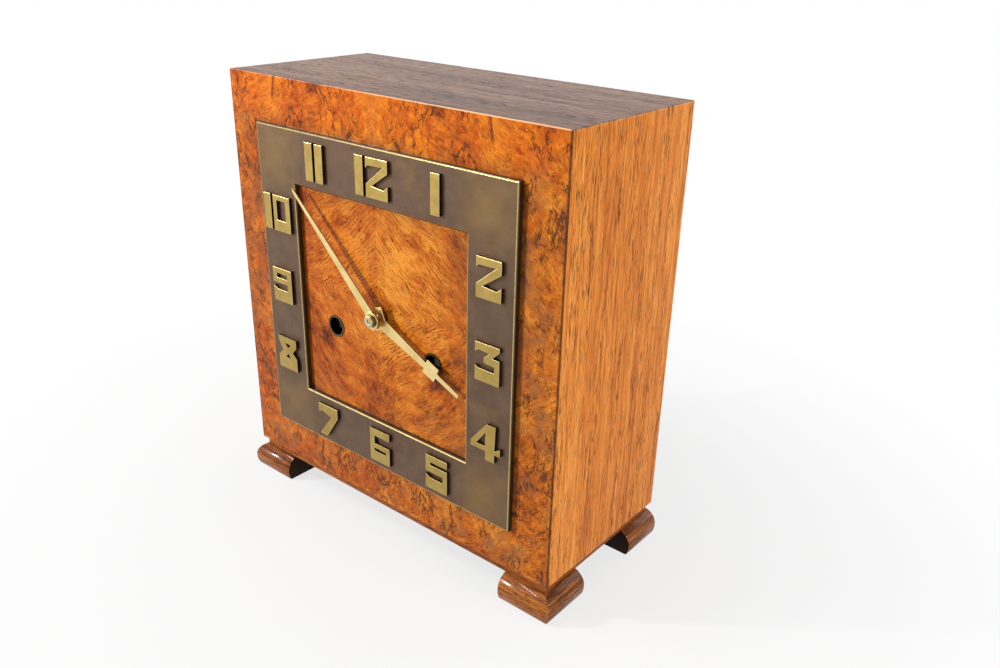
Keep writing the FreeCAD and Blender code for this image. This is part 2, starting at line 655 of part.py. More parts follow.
# Minute hand: tapering blade, square plate on its corner, boss with a sunk face
blade = [(0, MINUTE_HUB_WIDTH / 2), (MINUTE_LENGTH - MINUTE_POINT, MINUTE_TIP_WIDTH / 2),
         (MINUTE_LENGTH, -MINUTE_TIP_WIDTH / 2), (0, -MINUTE_HUB_WIDTH / 2)]
half = MINUTE_PLATE_HALF_DIAGONAL
plate = [(half, 0), (0, half), (-half, 0), (0, -half)]
minute_rear = MINUTE_DEPTH + HAND_THICK
minute_hand = joined(flat(along(DIAL, MINUTE_BEARING, blade), MINUTE_DEPTH, minute_rear),
                     flat(along(DIAL, MINUTE_BEARING, plate), MINUTE_DEPTH, minute_rear),
                     rod(DIAL, MINUTE_BOSS_RADIUS, MINUTE_BOSS_DEPTH, minute_rear))
minute_hand = minute_hand.cut(rod(DIAL, MINUTE_WELL_RADIUS, MINUTE_BOSS_DEPTH, MINUTE_WELL_DEPTH))
save("minute_hand", minute_hand.cut(bore(DIAL, CANNON_RADIUS, MINUTE_BOSS_DEPTH, minute_rear)))

# Hour hand: diamond hub, tapering blade, square block, slim square-cut tip
block_start = HOUR_BLOCK_ALONG - HOUR_BLOCK_HALF
block_end = HOUR_BLOCK_ALONG + HOUR_BLOCK_HALF
blade = mirrored([(0, HOUR_HUB_WIDTH / 2), (block_start, HOUR_NECK_WIDTH / 2), (block_start, HOUR_BLOCK_HALF),
                  (block_end, HOUR_BLOCK_HALF), (block_end, HOUR_TIP_START_WIDTH / 2),
                  (HOUR_LENGTH, HOUR_TIP_WIDTH / 2)])
half = HOUR_PLATE_HALF_DIAGONAL
plate = [(half, 0), (0, half), (-half, 0), (0, -half)]
hour_rear = HOUR_DEPTH + HAND_THICK
hour_hand = joined(flat(along(DIAL, HOUR_BEARING, blade), HOUR_DEPTH, hour_rear),
                   flat(along(DIAL, HOUR_BEARING, plate), HOUR_DEPTH, hour_rear))
save("hour_hand", hour_hand.cut(bore(DIAL, HOUR_PIPE_RADIUS, HOUR_DEPTH, hour_rear)))

# Hand nut on the centre arbor's thread
nut = rod(DIAL, NUT_RADIUS, NUT_FRONT, MINUTE_WELL_DEPTH)
save("hand_nut", nut.cut(bore(DIAL, CENTRE_ARBOR_RADIUS, NUT_FRONT, MINUTE_WELL_DEPTH)))

# Places of the going train's arbors
SECOND_DRIVE = pitch_radius(GREAT_TEETH, GREAT_MODULE) + pitch_radius(PINION_LEAVES, GREAT_MODULE)
DRIVEN_REACH = pitch_radius(SECOND_TEETH, SECOND_MODULE) + pitch_radius(PINION_LEAVES, SECOND_MODULE)
GOING_SECOND = reach_from_two(GOING_BARREL, DIAL, SECOND_DRIVE, DRIVEN_REACH)
THIRD_REACH = pitch_radius(CENTRE_TEETH, FINE_MODULE) + pitch_radius(PINION_LEAVES, FINE_MODULE)
THIRD = polar(DIAL, THIRD_REACH, THIRD_BEARING)
ESCAPE_REACH = pitch_radius(THIRD_TEETH, FINE_MODULE) + pitch_radius(PINION_LEAVES, FINE_MODULE)
ESCAPE = (DIAL[0], THIRD[1] + sqrt(ESCAPE_REACH ** 2 - (THIRD[0] - DIAL[0]) ** 2))
PALLET_HALF_SPAN = PALLET_SPAN_TEETH / ESCAPE_TEETH * HALF_TURN
ANCHOR = (DIAL[0], ESCAPE[1] + ESCAPE_RADIUS / cos(radians(PALLET_HALF_SPAN)))

# Places of the strike train's arbors
STRIKE_SECOND = polar(STRIKE_BARREL, SECOND_DRIVE, STRIKE_SECOND_BEARING)
PIN_WHEEL = polar(STRIKE_SECOND, DRIVEN_REACH, PIN_WHEEL_BEARING)
WARNING_REACH = pitch_radius(PIN_WHEEL_TEETH, STRIKE_MODULE) + pitch_radius(PINION_LEAVES, STRIKE_MODULE)
WARNING = polar(PIN_WHEEL, WARNING_REACH, WARNING_BEARING)
FLY_REACH = pitch_radius(WARNING_TEETH, STRIKE_MODULE) + pitch_radius(PINION_LEAVES, STRIKE_MODULE)
FLY = polar(WARNING, FLY_REACH, FLY_BEARING)
HAMMER = (DIAL[0] + HAMMER_X, DIAL[1] + HAMMER_Z)

# Motion work places
MINUTE_STUD_REACH = (pitch_radius(CANNON_LEAVES, MOTION_MODULE)
                     + pitch_radius(MINUTE_WHEEL_TEETH, MOTION_MODULE))
MINUTE_STUD = (DIAL[0], DIAL[1] - MINUTE_STUD_REACH)

# Movement plates
small_pivots = [GOING_SECOND, THIRD, ESCAPE, STRIKE_SECOND, PIN_WHEEL, WARNING, FLY]
corners = [(DIAL[0] + x, DIAL[1] + z) for x in (-PILLAR_X, PILLAR_X) for z in (PILLAR_LOW, PILLAR_HIGH)]


def movement_plate(front, holes):
    plate = block(DIAL[0] - PLATE_HALF_WIDTH, DIAL[0] + PLATE_HALF_WIDTH, front, front + PLATE,
                  DIAL[1] + PLATE_BOTTOM, DIAL[1] + PLATE_TOP)
    bores = [bore(place, radius, front, front + PLATE) for place, radius in holes]
    return plate.cut(Part.makeCompound(bores))


holes = [(place, PIVOT_RADIUS) for place in small_pivots + [ANCHOR, HAMMER]]
holes += [(DIAL, CENTRE_ARBOR_RADIUS)]
holes += [(place, WINDING_ARBOR_RADIUS) for place in (GOING_BARREL, STRIKE_BARREL)]
front_plate = [movement_plate(PLATE_FRONT, holes)]
front_plate.append(bar(MINUTE_STUD, MINUTE_STUD_RADIUS, MINUTE_STUD_FRONT, PLATE_FRONT))
CLICK_PIVOT_BEARING = RATCHET_PHASE + CLICK_PIVOT_TURN
for place in (GOING_BARREL, STRIKE_BARREL):
    stud = polar(place, CLICK_PIVOT_RADIUS, CLICK_PIVOT_BEARING)
    front_plate.append(bar(stud, CLICK_STUD_RADIUS, RATCHET_FRONT, PLATE_FRONT))
save("front_plate", joined(*front_plate))

holes = [(place, PIVOT_RADIUS) for place in small_pivots]
holes += [(ANCHOR, FINE_ARBOR_RADIUS), (HAMMER, HAMMER_ARBOR_RADIUS), (DIAL, CENTRE_PIVOT_RADIUS)]
holes += [(place, WINDING_PIVOT_RADIUS) for place in (GOING_BARREL, STRIKE_BARREL)]
holes += [(place, PILLAR_STUD_RADIUS) for place in corners]
save("back_plate", movement_plate(BACK_PLATE_FRONT, holes))

# Pillars between the plates, their nuts, and the posts that carry the movement on the front board
pillars = []
nuts = []
posts = []
for place in corners:
    depths = [PLATE_REAR, BACK_PLATE_FRONT, BACK_PLATE_FRONT + PILLAR_STUD_LENGTH]
    pillars.append(stepped(place, depths, [PILLAR_RADIUS, PILLAR_STUD_RADIUS]))
    hexagon = [polar(place, PILLAR_NUT_RADIUS, side * FULL_TURN / 6) for side in range(6)]
    nut = flat(hexagon, BACK_PLATE_REAR, BACK_PLATE_REAR + PILLAR_NUT)
    nuts.append(nut.cut(bore(place, PILLAR_STUD_RADIUS, BACK_PLATE_REAR, BACK_PLATE_REAR + PILLAR_NUT)))
    posts.append(bar(place, POST_RADIUS, FRONT_BOARD_REAR, PLATE_FRONT))
save("plate_pillars", Part.makeCompound(pillars))
save("pillar_nuts", Part.makeCompound(nuts))
save("movement_posts", Part.makeCompound(posts))


# Spring barrels and winding arbors
def barrel(place):
    wheel = gear(place, GREAT_TEETH, GREAT_MODULE, 0, behind_plate(GREAT_LAYER))
    front, rear = behind_plate(DRUM_LAYER)
    body = joined(wheel, bar(place, DRUM_RADIUS, front, rear, DISC_SIDES))
    return body.cut(bore(place, WINDING_ARBOR_RADIUS, PLATE_REAR, rear))


def winding_arbor(place):
    rear_collar = PLATE_REAR + DRUM_LAYER[1] + END_SHAKE
    front_collar = PLATE_REAR + GREAT_LAYER[0] - END_SHAKE
    depths = [RATCHET_FRONT, front_collar - ARBOR_COLLAR, front_collar, rear_collar,
              rear_collar + ARBOR_COLLAR, BACK_PLATE_FRONT - END_SHAKE, BACK_PLATE_REAR + PIVOT_REACH]
    radii = [WINDING_ARBOR_RADIUS, ARBOR_COLLAR_RADIUS, WINDING_ARBOR_RADIUS, ARBOR_COLLAR_RADIUS,
             WINDING_ARBOR_RADIUS, WINDING_PIVOT_RADIUS]
    key_square = block(place[0] - WINDING_SQUARE_HALF, place[0] + WINDING_SQUARE_HALF,
                       WINDING_SQUARE_FRONT, RATCHET_FRONT,
                       place[1] - WINDING_SQUARE_HALF, place[1] + WINDING_SQUARE_HALF)
    ratchet = saw_wheel(place, RATCHET_TEETH, RATCHET_RADIUS, RATCHET_ROOT_RADIUS, RATCHET_PHASE,
                        (RATCHET_FRONT, RATCHET_FRONT + RATCHET), True)
    return joined(stepped(place, depths, radii), key_square, ratchet)


save("going_barrel", barrel(GOING_BARREL))
save("strike_barrel", barrel(STRIKE_BARREL))
save("going_winding_arbor", winding_arbor(GOING_BARREL))
save("strike_winding_arbor", winding_arbor(STRIKE_BARREL))


# Clicks that hold the ratchets
def click(place):
    pivot = polar(place, CLICK_PIVOT_RADIUS, CLICK_PIVOT_BEARING)
    front = RATCHET_FRONT + (RATCHET - CLICK_THICK) / 2
    rear = front + CLICK_THICK
    lever = [polar(place, radius, RATCHET_PHASE + turn) for radius, turn in CLICK_LEVER]
    body = joined(flat(lever, front, rear), bar(pivot, CLICK_BOSS_RADIUS, front, rear))
    return body.cut(bore(pivot, CLICK_STUD_RADIUS, front, rear))


save("going_click", click(GOING_BARREL))
save("strike_click", click(STRIKE_BARREL))


# Second wheels, driven by the barrels
def second_wheel(barrel_place, place):
    phase = meshing_phase(barrel_place, place, GREAT_TEETH, PINION_LEAVES)
    return joined(arbor(place, SECOND_ARBOR_RADIUS),
                  gear(place, PINION_LEAVES, GREAT_MODULE, phase, behind_plate(SECOND_PINION_LAYER)),
                  gear(place, SECOND_TEETH, SECOND_MODULE, 0, behind_plate(SECOND_LAYER)))


save("going_second_wheel", second_wheel(GOING_BARREL, GOING_SECOND))
save("strike_second_wheel", second_wheel(STRIKE_BARREL, STRIKE_SECOND))

# Centre wheel on the arbor that carries the minute hand
phase = meshing_phase(GOING_SECOND, DIAL, SECOND_TEETH, PINION_LEAVES)
centre_depths = [CENTRE_ARBOR_FRONT, PLATE_REAR + END_SHAKE, BACK_PLATE_FRONT - END_SHAKE,
                 BACK_PLATE_REAR + PIVOT_REACH]
centre_radii = [CENTRE_ARBOR_RADIUS, CENTRE_BODY_RADIUS, CENTRE_PIVOT_RADIUS]
centre_wheel = joined(stepped(DIAL, centre_depths, centre_radii),
                      gear(DIAL, PINION_LEAVES, SECOND_MODULE, phase, behind_plate(DRIVEN_PINION_LAYER)),
                      gear(DIAL, CENTRE_TEETH, FINE_MODULE, 0, behind_plate(CENTRE_LAYER)))
save("centre_wheel", centre_wheel)

# Third wheel
phase = meshing_phase(DIAL, THIRD, CENTRE_TEETH, PINION_LEAVES)
third_wheel = joined(arbor(THIRD, FINE_ARBOR_RADIUS),
                     gear(THIRD, PINION_LEAVES, FINE_MODULE, phase, behind_plate(THIRD_PINION_LAYER)),
                     gear(THIRD, THIRD_TEETH, FINE_MODULE, 0, behind_plate(THIRD_LAYER)))
save("third_wheel", third_wheel)

# Escape wheel with its leaning teeth
phase = meshing_phase(THIRD, ESCAPE, THIRD_TEETH, PINION_LEAVES)
escape_wheel = joined(arbor(ESCAPE, FINE_ARBOR_RADIUS),
                      gear(ESCAPE, PINION_LEAVES, FINE_MODULE, phase, behind_plate(ESCAPE_PINION_LAYER)),
                      saw_wheel(ESCAPE, ESCAPE_TEETH, ESCAPE_RADIUS, ESCAPE_ROOT_RADIUS, 0,
                                behind_plate(ESCAPE_LAYER), False))
save("escape_wheel", escape_wheel)

# Anchor: two pallets on one arbor, with the crutch and its fork behind the back plate
pallet_ends = []
for turn in (PALLET_HALF_SPAN + PALLET_HALF_WIDTH, PALLET_HALF_SPAN - PALLET_HALF_WIDTH):
    x, z = polar(ESCAPE, PALLET_RADIUS, HALF_TURN / 2 - turn)
    pallet_ends.append((x - ANCHOR[0], z - ANCHOR[1]))
right_half = [ANCHOR_SHOULDER, ANCHOR_ELBOW, ANCHOR_ELBOW_LOW] + pallet_ends + [ANCHOR_ARMPIT, ANCHOR_WAIST]
left_half = [(-x, z) for x, z in reversed(right_half)]
anchor_outline = [(ANCHOR[0] + x, ANCHOR[1] + z) for x, z in [(0, ANCHOR_TOP)] + right_half + left_half]
crutch_front = BACK_PLATE_REAR + CRUTCH_PLATE_GAP
crutch_rear = crutch_front + CRUTCH_THICK
crutch_low = ANCHOR[1] - CRUTCH_DROP
fork_top = crutch_low + FORK_HEIGHT
fork_pin_rear = PENDULUM_DEPTH + ROD_RADIUS + FORK_PIN_PAST_ROD
anchor_depths = [PLATE_FRONT - PIVOT_REACH, PLATE_REAR + END_SHAKE, crutch_rear + CRUTCH_ARBOR_TAIL]
anchor_pieces = [flat(anchor_outline, *behind_plate(ESCAPE_LAYER)),
                 stepped(ANCHOR, anchor_depths, [PIVOT_RADIUS, FINE_ARBOR_RADIUS]),
                 block(ANCHOR[0] - CRUTCH_HALF_WIDTH, ANCHOR[0] + CRUTCH_HALF_WIDTH,
                       crutch_front, crutch_rear, crutch_low, ANCHOR[1] + CRUTCH_TOP),
                 block(ANCHOR[0] - FORK_HALF_WIDTH, ANCHOR[0] + FORK_HALF_WIDTH,
                       crutch_front, crutch_rear, crutch_low, fork_top)]
for side in (-FORK_PIN_X, FORK_PIN_X):
    pin_place = (ANCHOR[0] + side, crutch_low + FORK_HEIGHT / 2)
    anchor_pieces.append(bar(pin_place, FORK_PIN_RADIUS, crutch_rear, fork_pin_rear))
save("anchor", joined(*anchor_pieces))

# Suspension cock: pad on the back plate, arm, and two cheeks that hold the spring's pin
cheek_inner_front = PENDULUM_DEPTH - COCK_GAP_HALF
cheek_inner_rear = PENDULUM_DEPTH + COCK_GAP_HALF
cheek_front = cheek_inner_front - COCK_CHEEK
cheek_rear = cheek_inner_rear + COCK_CHEEK
pad_rear = BACK_PLATE_REAR + COCK_PAD
cock_left = ANCHOR[0] - COCK_HALF_WIDTH
cock_right = ANCHOR[0] + COCK_HALF_WIDTH
cock_pieces = [block(ANCHOR[0] - COCK_PAD_HALF_WIDTH, ANCHOR[0] + COCK_PAD_HALF_WIDTH,
                     BACK_PLATE_REAR, pad_rear, ANCHOR[1] + COCK_PAD_LOW, ANCHOR[1] + COCK_PAD_HIGH),
               block(cock_left, cock_right, pad_rear, cheek_rear,
                     ANCHOR[1] + COCK_ARM_LOW, ANCHOR[1] + COCK_ARM_HIGH)]
for front, rear in ((cheek_front, cheek_inner_front), (cheek_inner_rear, cheek_rear)):
    cock_pieces.append(block(cock_left, cock_right, front, rear,
                             ANCHOR[1] - COCK_CHEEK_DROP, ANCHOR[1] + COCK_ARM_LOW))
cock = joined(*cock_pieces)
save("suspension_cock", cock.cut(bore(ANCHOR, SPRING_PIN_RADIUS, cheek_front, cheek_rear)))

# Suspension spring with its head and pin
strip_front = PENDULUM_DEPTH - SPRING_HALF_WIDTH
strip_rear = PENDULUM_DEPTH + SPRING_HALF_WIDTH
strip_low = ANCHOR[1] - SPRING_LENGTH
spring = joined(block(ANCHOR[0] - SPRING_HALF_THICK, ANCHOR[0] + SPRING_HALF_THICK, strip_front, strip_rear,
                      strip_low, ANCHOR[1]),
                block(ANCHOR[0] - SPRING_HEAD_HALF, ANCHOR[0] + SPRING_HEAD_HALF, strip_front, strip_rear,
                      ANCHOR[1] - SPRING_HEAD_HALF, ANCHOR[1] + SPRING_HEAD_HALF),
                bar(ANCHOR, SPRING_PIN_RADIUS, cheek_front, cheek_rear))
save("suspension_spring", spring)

# Pendulum rod with its hook block
bob_height = ANCHOR[1] - PENDULUM_LENGTH
rod_line = (ANCHOR[0], PENDULUM_DEPTH)
hook_low = strip_low - ROD_HOOK_HEIGHT
hook = block(ANCHOR[0] - ROD_HOOK_HALF, ANCHOR[0] + ROD_HOOK_HALF,
             strip_front, strip_rear, hook_low, strip_low)
save("pendulum_rod", joined(upright(ring(rod_line, ROD_RADIUS), bob_height - ROD_TAIL, hook_low), hook))

# Round bob on a sleeve, and the rating nut below it
sleeve_low = bob_height - BOB_SLEEVE_DROP
sleeve_high = bob_height + BOB_SLEEVE_DROP
nut_low = sleeve_low - RATING_NUT
hub_low = nut_low - RATING_NUT_HUB
rod_hole = upright(ring_around(rod_line, ROD_RADIUS), hub_low, sleeve_high)
bob_disc = bar((ANCHOR[0], bob_height), BOB_RADIUS, PENDULUM_DEPTH - BOB_HALF_THICK,
               PENDULUM_DEPTH + BOB_HALF_THICK, DISC_SIDES)
bob_sleeve = upright(ring(rod_line, BOB_SLEEVE_RADIUS), sleeve_low, sleeve_high)
save("pendulum_bob", joined(bob_disc, bob_sleeve).cut(rod_hole))
rating_nut = joined(upright(ring(rod_line, RATING_NUT_RADIUS), nut_low, sleeve_low),
                    upright(ring(rod_line, RATING_NUT_HUB_RADIUS), hub_low, nut_low))
save("rating_nut", rating_nut.cut(rod_hole))

# Motion work: cannon pinion, minute wheel and hour wheel
cannon = joined(bar(DIAL, CANNON_RADIUS, CANNON_PIPE_FRONT, CANNON_REAR),
                gear(DIAL, CANNON_LEAVES, MOTION_MODULE, 0, (CANNON_FRONT, CANNON_REAR)))
save("cannon_pinion", cannon.cut(bore(DIAL, CENTRE_ARBOR_RADIUS, CANNON_PIPE_FRONT, CANNON_REAR)))
phase = meshing_phase(DIAL, MINUTE_STUD, CANNON_LEAVES, MINUTE_WHEEL_TEETH)
minute_wheel_rear = MINUTE_WHEEL_FRONT + MINUTE_WHEEL
minute_wheel = joined(gear(MINUTE_STUD, MINUTE_WHEEL_TEETH, MOTION_MODULE, phase,
                           (MINUTE_WHEEL_FRONT, minute_wheel_rear)),
                      gear(MINUTE_STUD, MINUTE_PINION_LEAVES, MOTION_MODULE, 0,
                           (MINUTE_PINION_FRONT, MINUTE_WHEEL_FRONT)))
stud_bore = bore(MINUTE_STUD, MINUTE_STUD_RADIUS, MINUTE_PINION_FRONT, minute_wheel_rear)
save("minute_wheel", minute_wheel.cut(stud_bore))
phase = meshing_phase(MINUTE_STUD, DIAL, MINUTE_PINION_LEAVES, HOUR_TEETH)
hour_wheel_rear = HOUR_WHEEL_FRONT + HOUR_WHEEL
hour_wheel = joined(bar(DIAL, HOUR_PIPE_RADIUS, HOUR_PIPE_FRONT, HOUR_WHEEL_FRONT),
                    gear(DIAL, HOUR_TEETH, MOTION_MODULE, phase, (HOUR_WHEEL_FRONT, hour_wheel_rear)))
save("hour_wheel", hour_wheel.cut(bore(DIAL, CANNON_RADIUS, HOUR_PIPE_FRONT, hour_wheel_rear)))

# Pin wheel that lifts the hammer
phase = meshing_phase(STRIKE_SECOND, PIN_WHEEL, SECOND_TEETH, PINION_LEAVES)
pin_pieces = [arbor(PIN_WHEEL, CENTRE_BODY_RADIUS),
              gear(PIN_WHEEL, PINION_LEAVES, SECOND_MODULE, phase, behind_plate(DRIVEN_PINION_LAYER)),
              gear(PIN_WHEEL, PIN_WHEEL_TEETH, STRIKE_MODULE, 0, behind_plate(PIN_WHEEL_LAYER))]
for pin in range(PIN_COUNT):
    spot = polar(PIN_WHEEL, PIN_CIRCLE_RADIUS, pin * FULL_TURN / PIN_COUNT)
    pin_pieces.append(bar(spot, PIN_RADIUS, *behind_plate(PIN_LAYER), PIN_SIDES))
save("pin_wheel", joined(*pin_pieces))

# Warning wheel with its one locking pin
phase = meshing_phase(PIN_WHEEL, WARNING, PIN_WHEEL_TEETH, PINION_LEAVES)
lock_pin = bar(polar(WARNING, WARNING_PIN_RADIUS, 0), PIN_RADIUS,
               PLATE_REAR + WARNING_LAYER[1], PLATE_REAR + WARNING_LAYER[1] + PIN_LAYER[1] - PIN_LAYER[0],
               PIN_SIDES)
warning_wheel = joined(arbor(WARNING, FINE_ARBOR_RADIUS),
                       gear(WARNING, PINION_LEAVES, STRIKE_MODULE, phase, behind_plate(WARNING_PINION_LAYER)),
                       gear(WARNING, WARNING_TEETH, STRIKE_MODULE, 0, behind_plate(WARNING_LAYER)), lock_pin)
save("warning_wheel", warning_wheel)

# Fly: the air brake's two-winged vane
phase = meshing_phase(WARNING, FLY, WARNING_TEETH, PINION_LEAVES)
vane = [(-FLY_HALF_WIDTH, -FLY_HALF_THICK), (FLY_HALF_WIDTH, -FLY_HALF_THICK),
        (FLY_HALF_WIDTH, FLY_HALF_THICK), (-FLY_HALF_WIDTH, FLY_HALF_THICK)]
fly = joined(arbor(FLY, FINE_ARBOR_RADIUS),
             gear(FLY, PINION_LEAVES, STRIKE_MODULE, phase, behind_plate(FLY_PINION_LAYER)),
             flat(along(FLY, FLY_TILT, vane), *behind_plate(FLY_LAYER)))
save("fly", fly)

# Coiled gong: a flat spiral strip with an eye at its centre
GONG = (DIAL[0] + GONG_X, DIAL[1] + GONG_Z)
gong_end_bearing = GONG_STRIKE_BEARING + GONG_END_PAST_STRIKE
gong_steps = GONG_TURNS * GONG_STEPS_PER_TURN


def gong_radius(step):
    return GONG_INNER_RADIUS + (GONG_OUTER_RADIUS - GONG_INNER_RADIUS) * step / gong_steps


outer_edge = []
inner_edge = []
for step in range(gong_steps + 1):
    bearing = gong_end_bearing + (step - gong_steps) * FULL_TURN / GONG_STEPS_PER_TURN
    outer_edge.append(polar(GONG, gong_radius(step) + GONG_HALF_WIDTH, bearing))
    inner_edge.append(polar(GONG, gong_radius(step) - GONG_HALF_WIDTH, bearing))
coil = flat(outer_edge + inner_edge[::-1], GONG_FRONT, GONG_REAR)
gong = joined(coil, bar(GONG, GONG_EYE_RADIUS, GONG_FRONT, GONG_REAR))
save("gong_coil", gong.cut(bore(GONG, GONG_STUD_RADIUS, GONG_FRONT, GONG_REAR)))

# Cast block that carries the gong on the case's floor
gong_block = joined(block(GONG[0] - GONG_FOOT_HALF_WIDTH, GONG[0] + GONG_FOOT_HALF_WIDTH,
                          GONG_REAR, GONG_REAR + GONG_FOOT_DEPTH,
                          FLOOR_INSIDE, FLOOR_INSIDE + GONG_FOOT_HEIGHT),
                    block(GONG[0] - GONG_POST_HALF_WIDTH, GONG[0] + GONG_POST_HALF_WIDTH,
                          GONG_REAR, GONG_REAR + GONG_POST_DEPTH, FLOOR_INSIDE, GONG[1] + GONG_POST_RISE),
                    bar(GONG, GONG_STUD_RADIUS, GONG_FRONT - GONG_STUD_REACH, GONG_REAR))
save("gong_block", gong_block)

# Hammer: tail at the pin wheel, arbor through the back plate, arm and head at the gong
tail_front, tail_rear = behind_plate(HAMMER_TAIL_LAYER)
tail_bearing = bearing_of(HAMMER, PIN_WHEEL)
tail_length = hypot(PIN_WHEEL[0] - HAMMER[0], PIN_WHEEL[1] - HAMMER[1])
tail_length -= PIN_CIRCLE_RADIUS + PIN_RADIUS + HAMMER_TAIL_GAP
tail = mirrored([(0, HAMMER_TAIL_ROOT_HALF), (tail_length, HAMMER_TAIL_END_HALF)])
strike_step = gong_steps - GONG_END_PAST_STRIKE / FULL_TURN * GONG_STEPS_PER_TURN
face_radius = gong_radius(strike_step) + GONG_HALF_WIDTH + HAMMER_REST_GAP
arm_depth = (GONG_FRONT + GONG_REAR) / 2
face_spot = polar(GONG, face_radius, GONG_STRIKE_BEARING)
head_middle = polar(GONG, face_radius + HAMMER_HEAD_LENGTH / 2, GONG_STRIKE_BEARING)
head_outline = mirrored([(0, HAMMER_FACE_HALF), (HAMMER_NOSE_LENGTH, HAMMER_HEAD_HALF),
                         (HAMMER_HEAD_LENGTH, HAMMER_HEAD_HALF)])
head = flat(along(face_spot, GONG_STRIKE_BEARING, head_outline),
            arm_depth - HAMMER_HEAD_HALF, arm_depth + HAMMER_HEAD_HALF)
arm_length = hypot(head_middle[0] - HAMMER[0], head_middle[1] - HAMMER[1])
arm_outline = mirrored([(0, HAMMER_ARM_HALF), (arm_length, HAMMER_ARM_HALF)])
arm = flat(along(HAMMER, bearing_of(HAMMER, head_middle), arm_outline), GONG_FRONT, GONG_REAR)
hammer_depths = [PLATE_FRONT - PIVOT_REACH, PLATE_REAR + END_SHAKE, GONG_FRONT, GONG_REAR]
hammer = joined(stepped(HAMMER, hammer_depths, [PIVOT_RADIUS, HAMMER_ARBOR_RADIUS, HAMMER_HUB_RADIUS]),
                bar(HAMMER, HAMMER_TAIL_HUB_RADIUS, tail_front, tail_rear),
                flat(along(HAMMER, tail_bearing, tail), tail_front, tail_rear), arm, head)
save("hammer", hammer)
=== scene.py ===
import json
from math import cos, radians, sin

import bmesh
import bpy
from mathutils import Matrix, Vector

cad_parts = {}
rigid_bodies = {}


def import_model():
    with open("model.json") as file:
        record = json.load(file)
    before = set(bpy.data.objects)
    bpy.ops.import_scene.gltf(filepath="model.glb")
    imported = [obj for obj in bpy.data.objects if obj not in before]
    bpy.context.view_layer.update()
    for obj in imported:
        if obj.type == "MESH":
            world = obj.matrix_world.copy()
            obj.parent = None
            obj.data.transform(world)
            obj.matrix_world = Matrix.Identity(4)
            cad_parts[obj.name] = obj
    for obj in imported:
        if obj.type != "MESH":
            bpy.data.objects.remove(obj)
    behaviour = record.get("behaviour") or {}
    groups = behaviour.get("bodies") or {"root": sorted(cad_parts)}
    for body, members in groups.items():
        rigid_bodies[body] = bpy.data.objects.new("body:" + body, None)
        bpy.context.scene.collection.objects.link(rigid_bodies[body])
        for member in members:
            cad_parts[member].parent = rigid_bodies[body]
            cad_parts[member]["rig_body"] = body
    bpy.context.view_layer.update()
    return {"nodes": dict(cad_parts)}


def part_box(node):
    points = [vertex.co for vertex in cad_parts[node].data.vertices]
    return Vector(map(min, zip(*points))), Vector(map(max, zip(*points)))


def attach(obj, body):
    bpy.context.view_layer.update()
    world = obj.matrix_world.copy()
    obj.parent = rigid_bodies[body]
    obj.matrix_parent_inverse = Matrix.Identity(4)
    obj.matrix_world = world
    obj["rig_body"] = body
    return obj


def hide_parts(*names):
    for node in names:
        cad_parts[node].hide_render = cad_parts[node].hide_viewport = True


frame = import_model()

# Case sides, top and bottom: solid boards with straight grain, glued edge to edge and stained.
# A satin lacquer lies over open pores, which show as short dark dashes along the grain.
CASE_LOW = (-0.120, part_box("front_veneer")[0][1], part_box("bottom_board")[0][2])
CASE_HIGH = (0.120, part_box("top_board")[1][1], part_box("top_board")[1][2])
CORNER_SOFTENING = 0.0007


def stain(red, green, blue):
    # a colour named in 0 to 255, as light it gives back
    parts = [value / 255 for value in (red, green, blue)]
    return tuple(v / 12.92 if v <= 0.04045 else ((v + 0.055) / 1.055) ** 2.4 for v in parts) + (1.0,)


def knot(tree, kind, inputs, **settings):
    # adds one shader node, with each input given a value or joined to another node's output
    made = tree.nodes.new("ShaderNode" + kind)
    for name, value in settings.items():
        setattr(made, name, value)
    for name, value in inputs.items():
        if isinstance(value, bpy.types.NodeSocket):
            tree.links.new(value, made.inputs[name])
        else:
            made.inputs[name].default_value = value
    return made


def start_finish(name, **set_on_shader):
    finish = bpy.data.materials.new(name)
    finish.use_nodes = True
    tree = finish.node_tree
    body = tree.nodes["Principled BSDF"]
    for socket, value in set_on_shader.items():
        body.inputs[socket.replace("_", " ")].default_value = value
    place = tree.nodes.new("ShaderNodeTexCoord").outputs["Object"]
    return finish, tree, body, place


def drawn_out(tree, place, scale):
    # a pattern read through this is longer along the axes whose scale is small
    return knot(tree, "Mapping", {"Vector": place, "Scale": scale}).outputs[0]


def cloud(tree, place, size, detail=3.0, roughness=0.5, twist=0.0):
    inputs = {"Vector": place, "Scale": 1 / size, "Detail": detail, "Roughness": roughness,
              "Distortion": twist}
    return knot(tree, "TexNoise", inputs).outputs[0]


def spread(tree, value, low, high, start=0.0, end=1.0):
    return knot(tree, "MapRange", {0: value, 1: low, 2: high, 3: start, 4: end}).outputs[0]


def reckon(tree, operation, *values):
    return knot(tree, "Math", dict(enumerate(values)), operation=operation).outputs[0]


def tint(tree, share, under, over, way="MIX"):
    return knot(tree, "Mix", {0: share, 6: under, 7: over}, data_type="RGBA", blend_type=way).outputs[2]


def shades(tree, value, *stops):
    made = knot(tree, "ValToRGB", {0: value})
    steps = made.color_ramp.elements
    steps.remove(steps[1])
    steps[0].position, steps[0].color = stops[0]
    for position, colour in stops[1:]:
        step = steps.new(position)
        step.color = colour
    return made.outputs[0]


def dented(tree, body, height, depth):
    bump = knot(tree, "Bump", {"Height": height, "Distance": depth, "Strength": 1.0})
    tree.links.new(bump.outputs[0], body.inputs["Normal"])


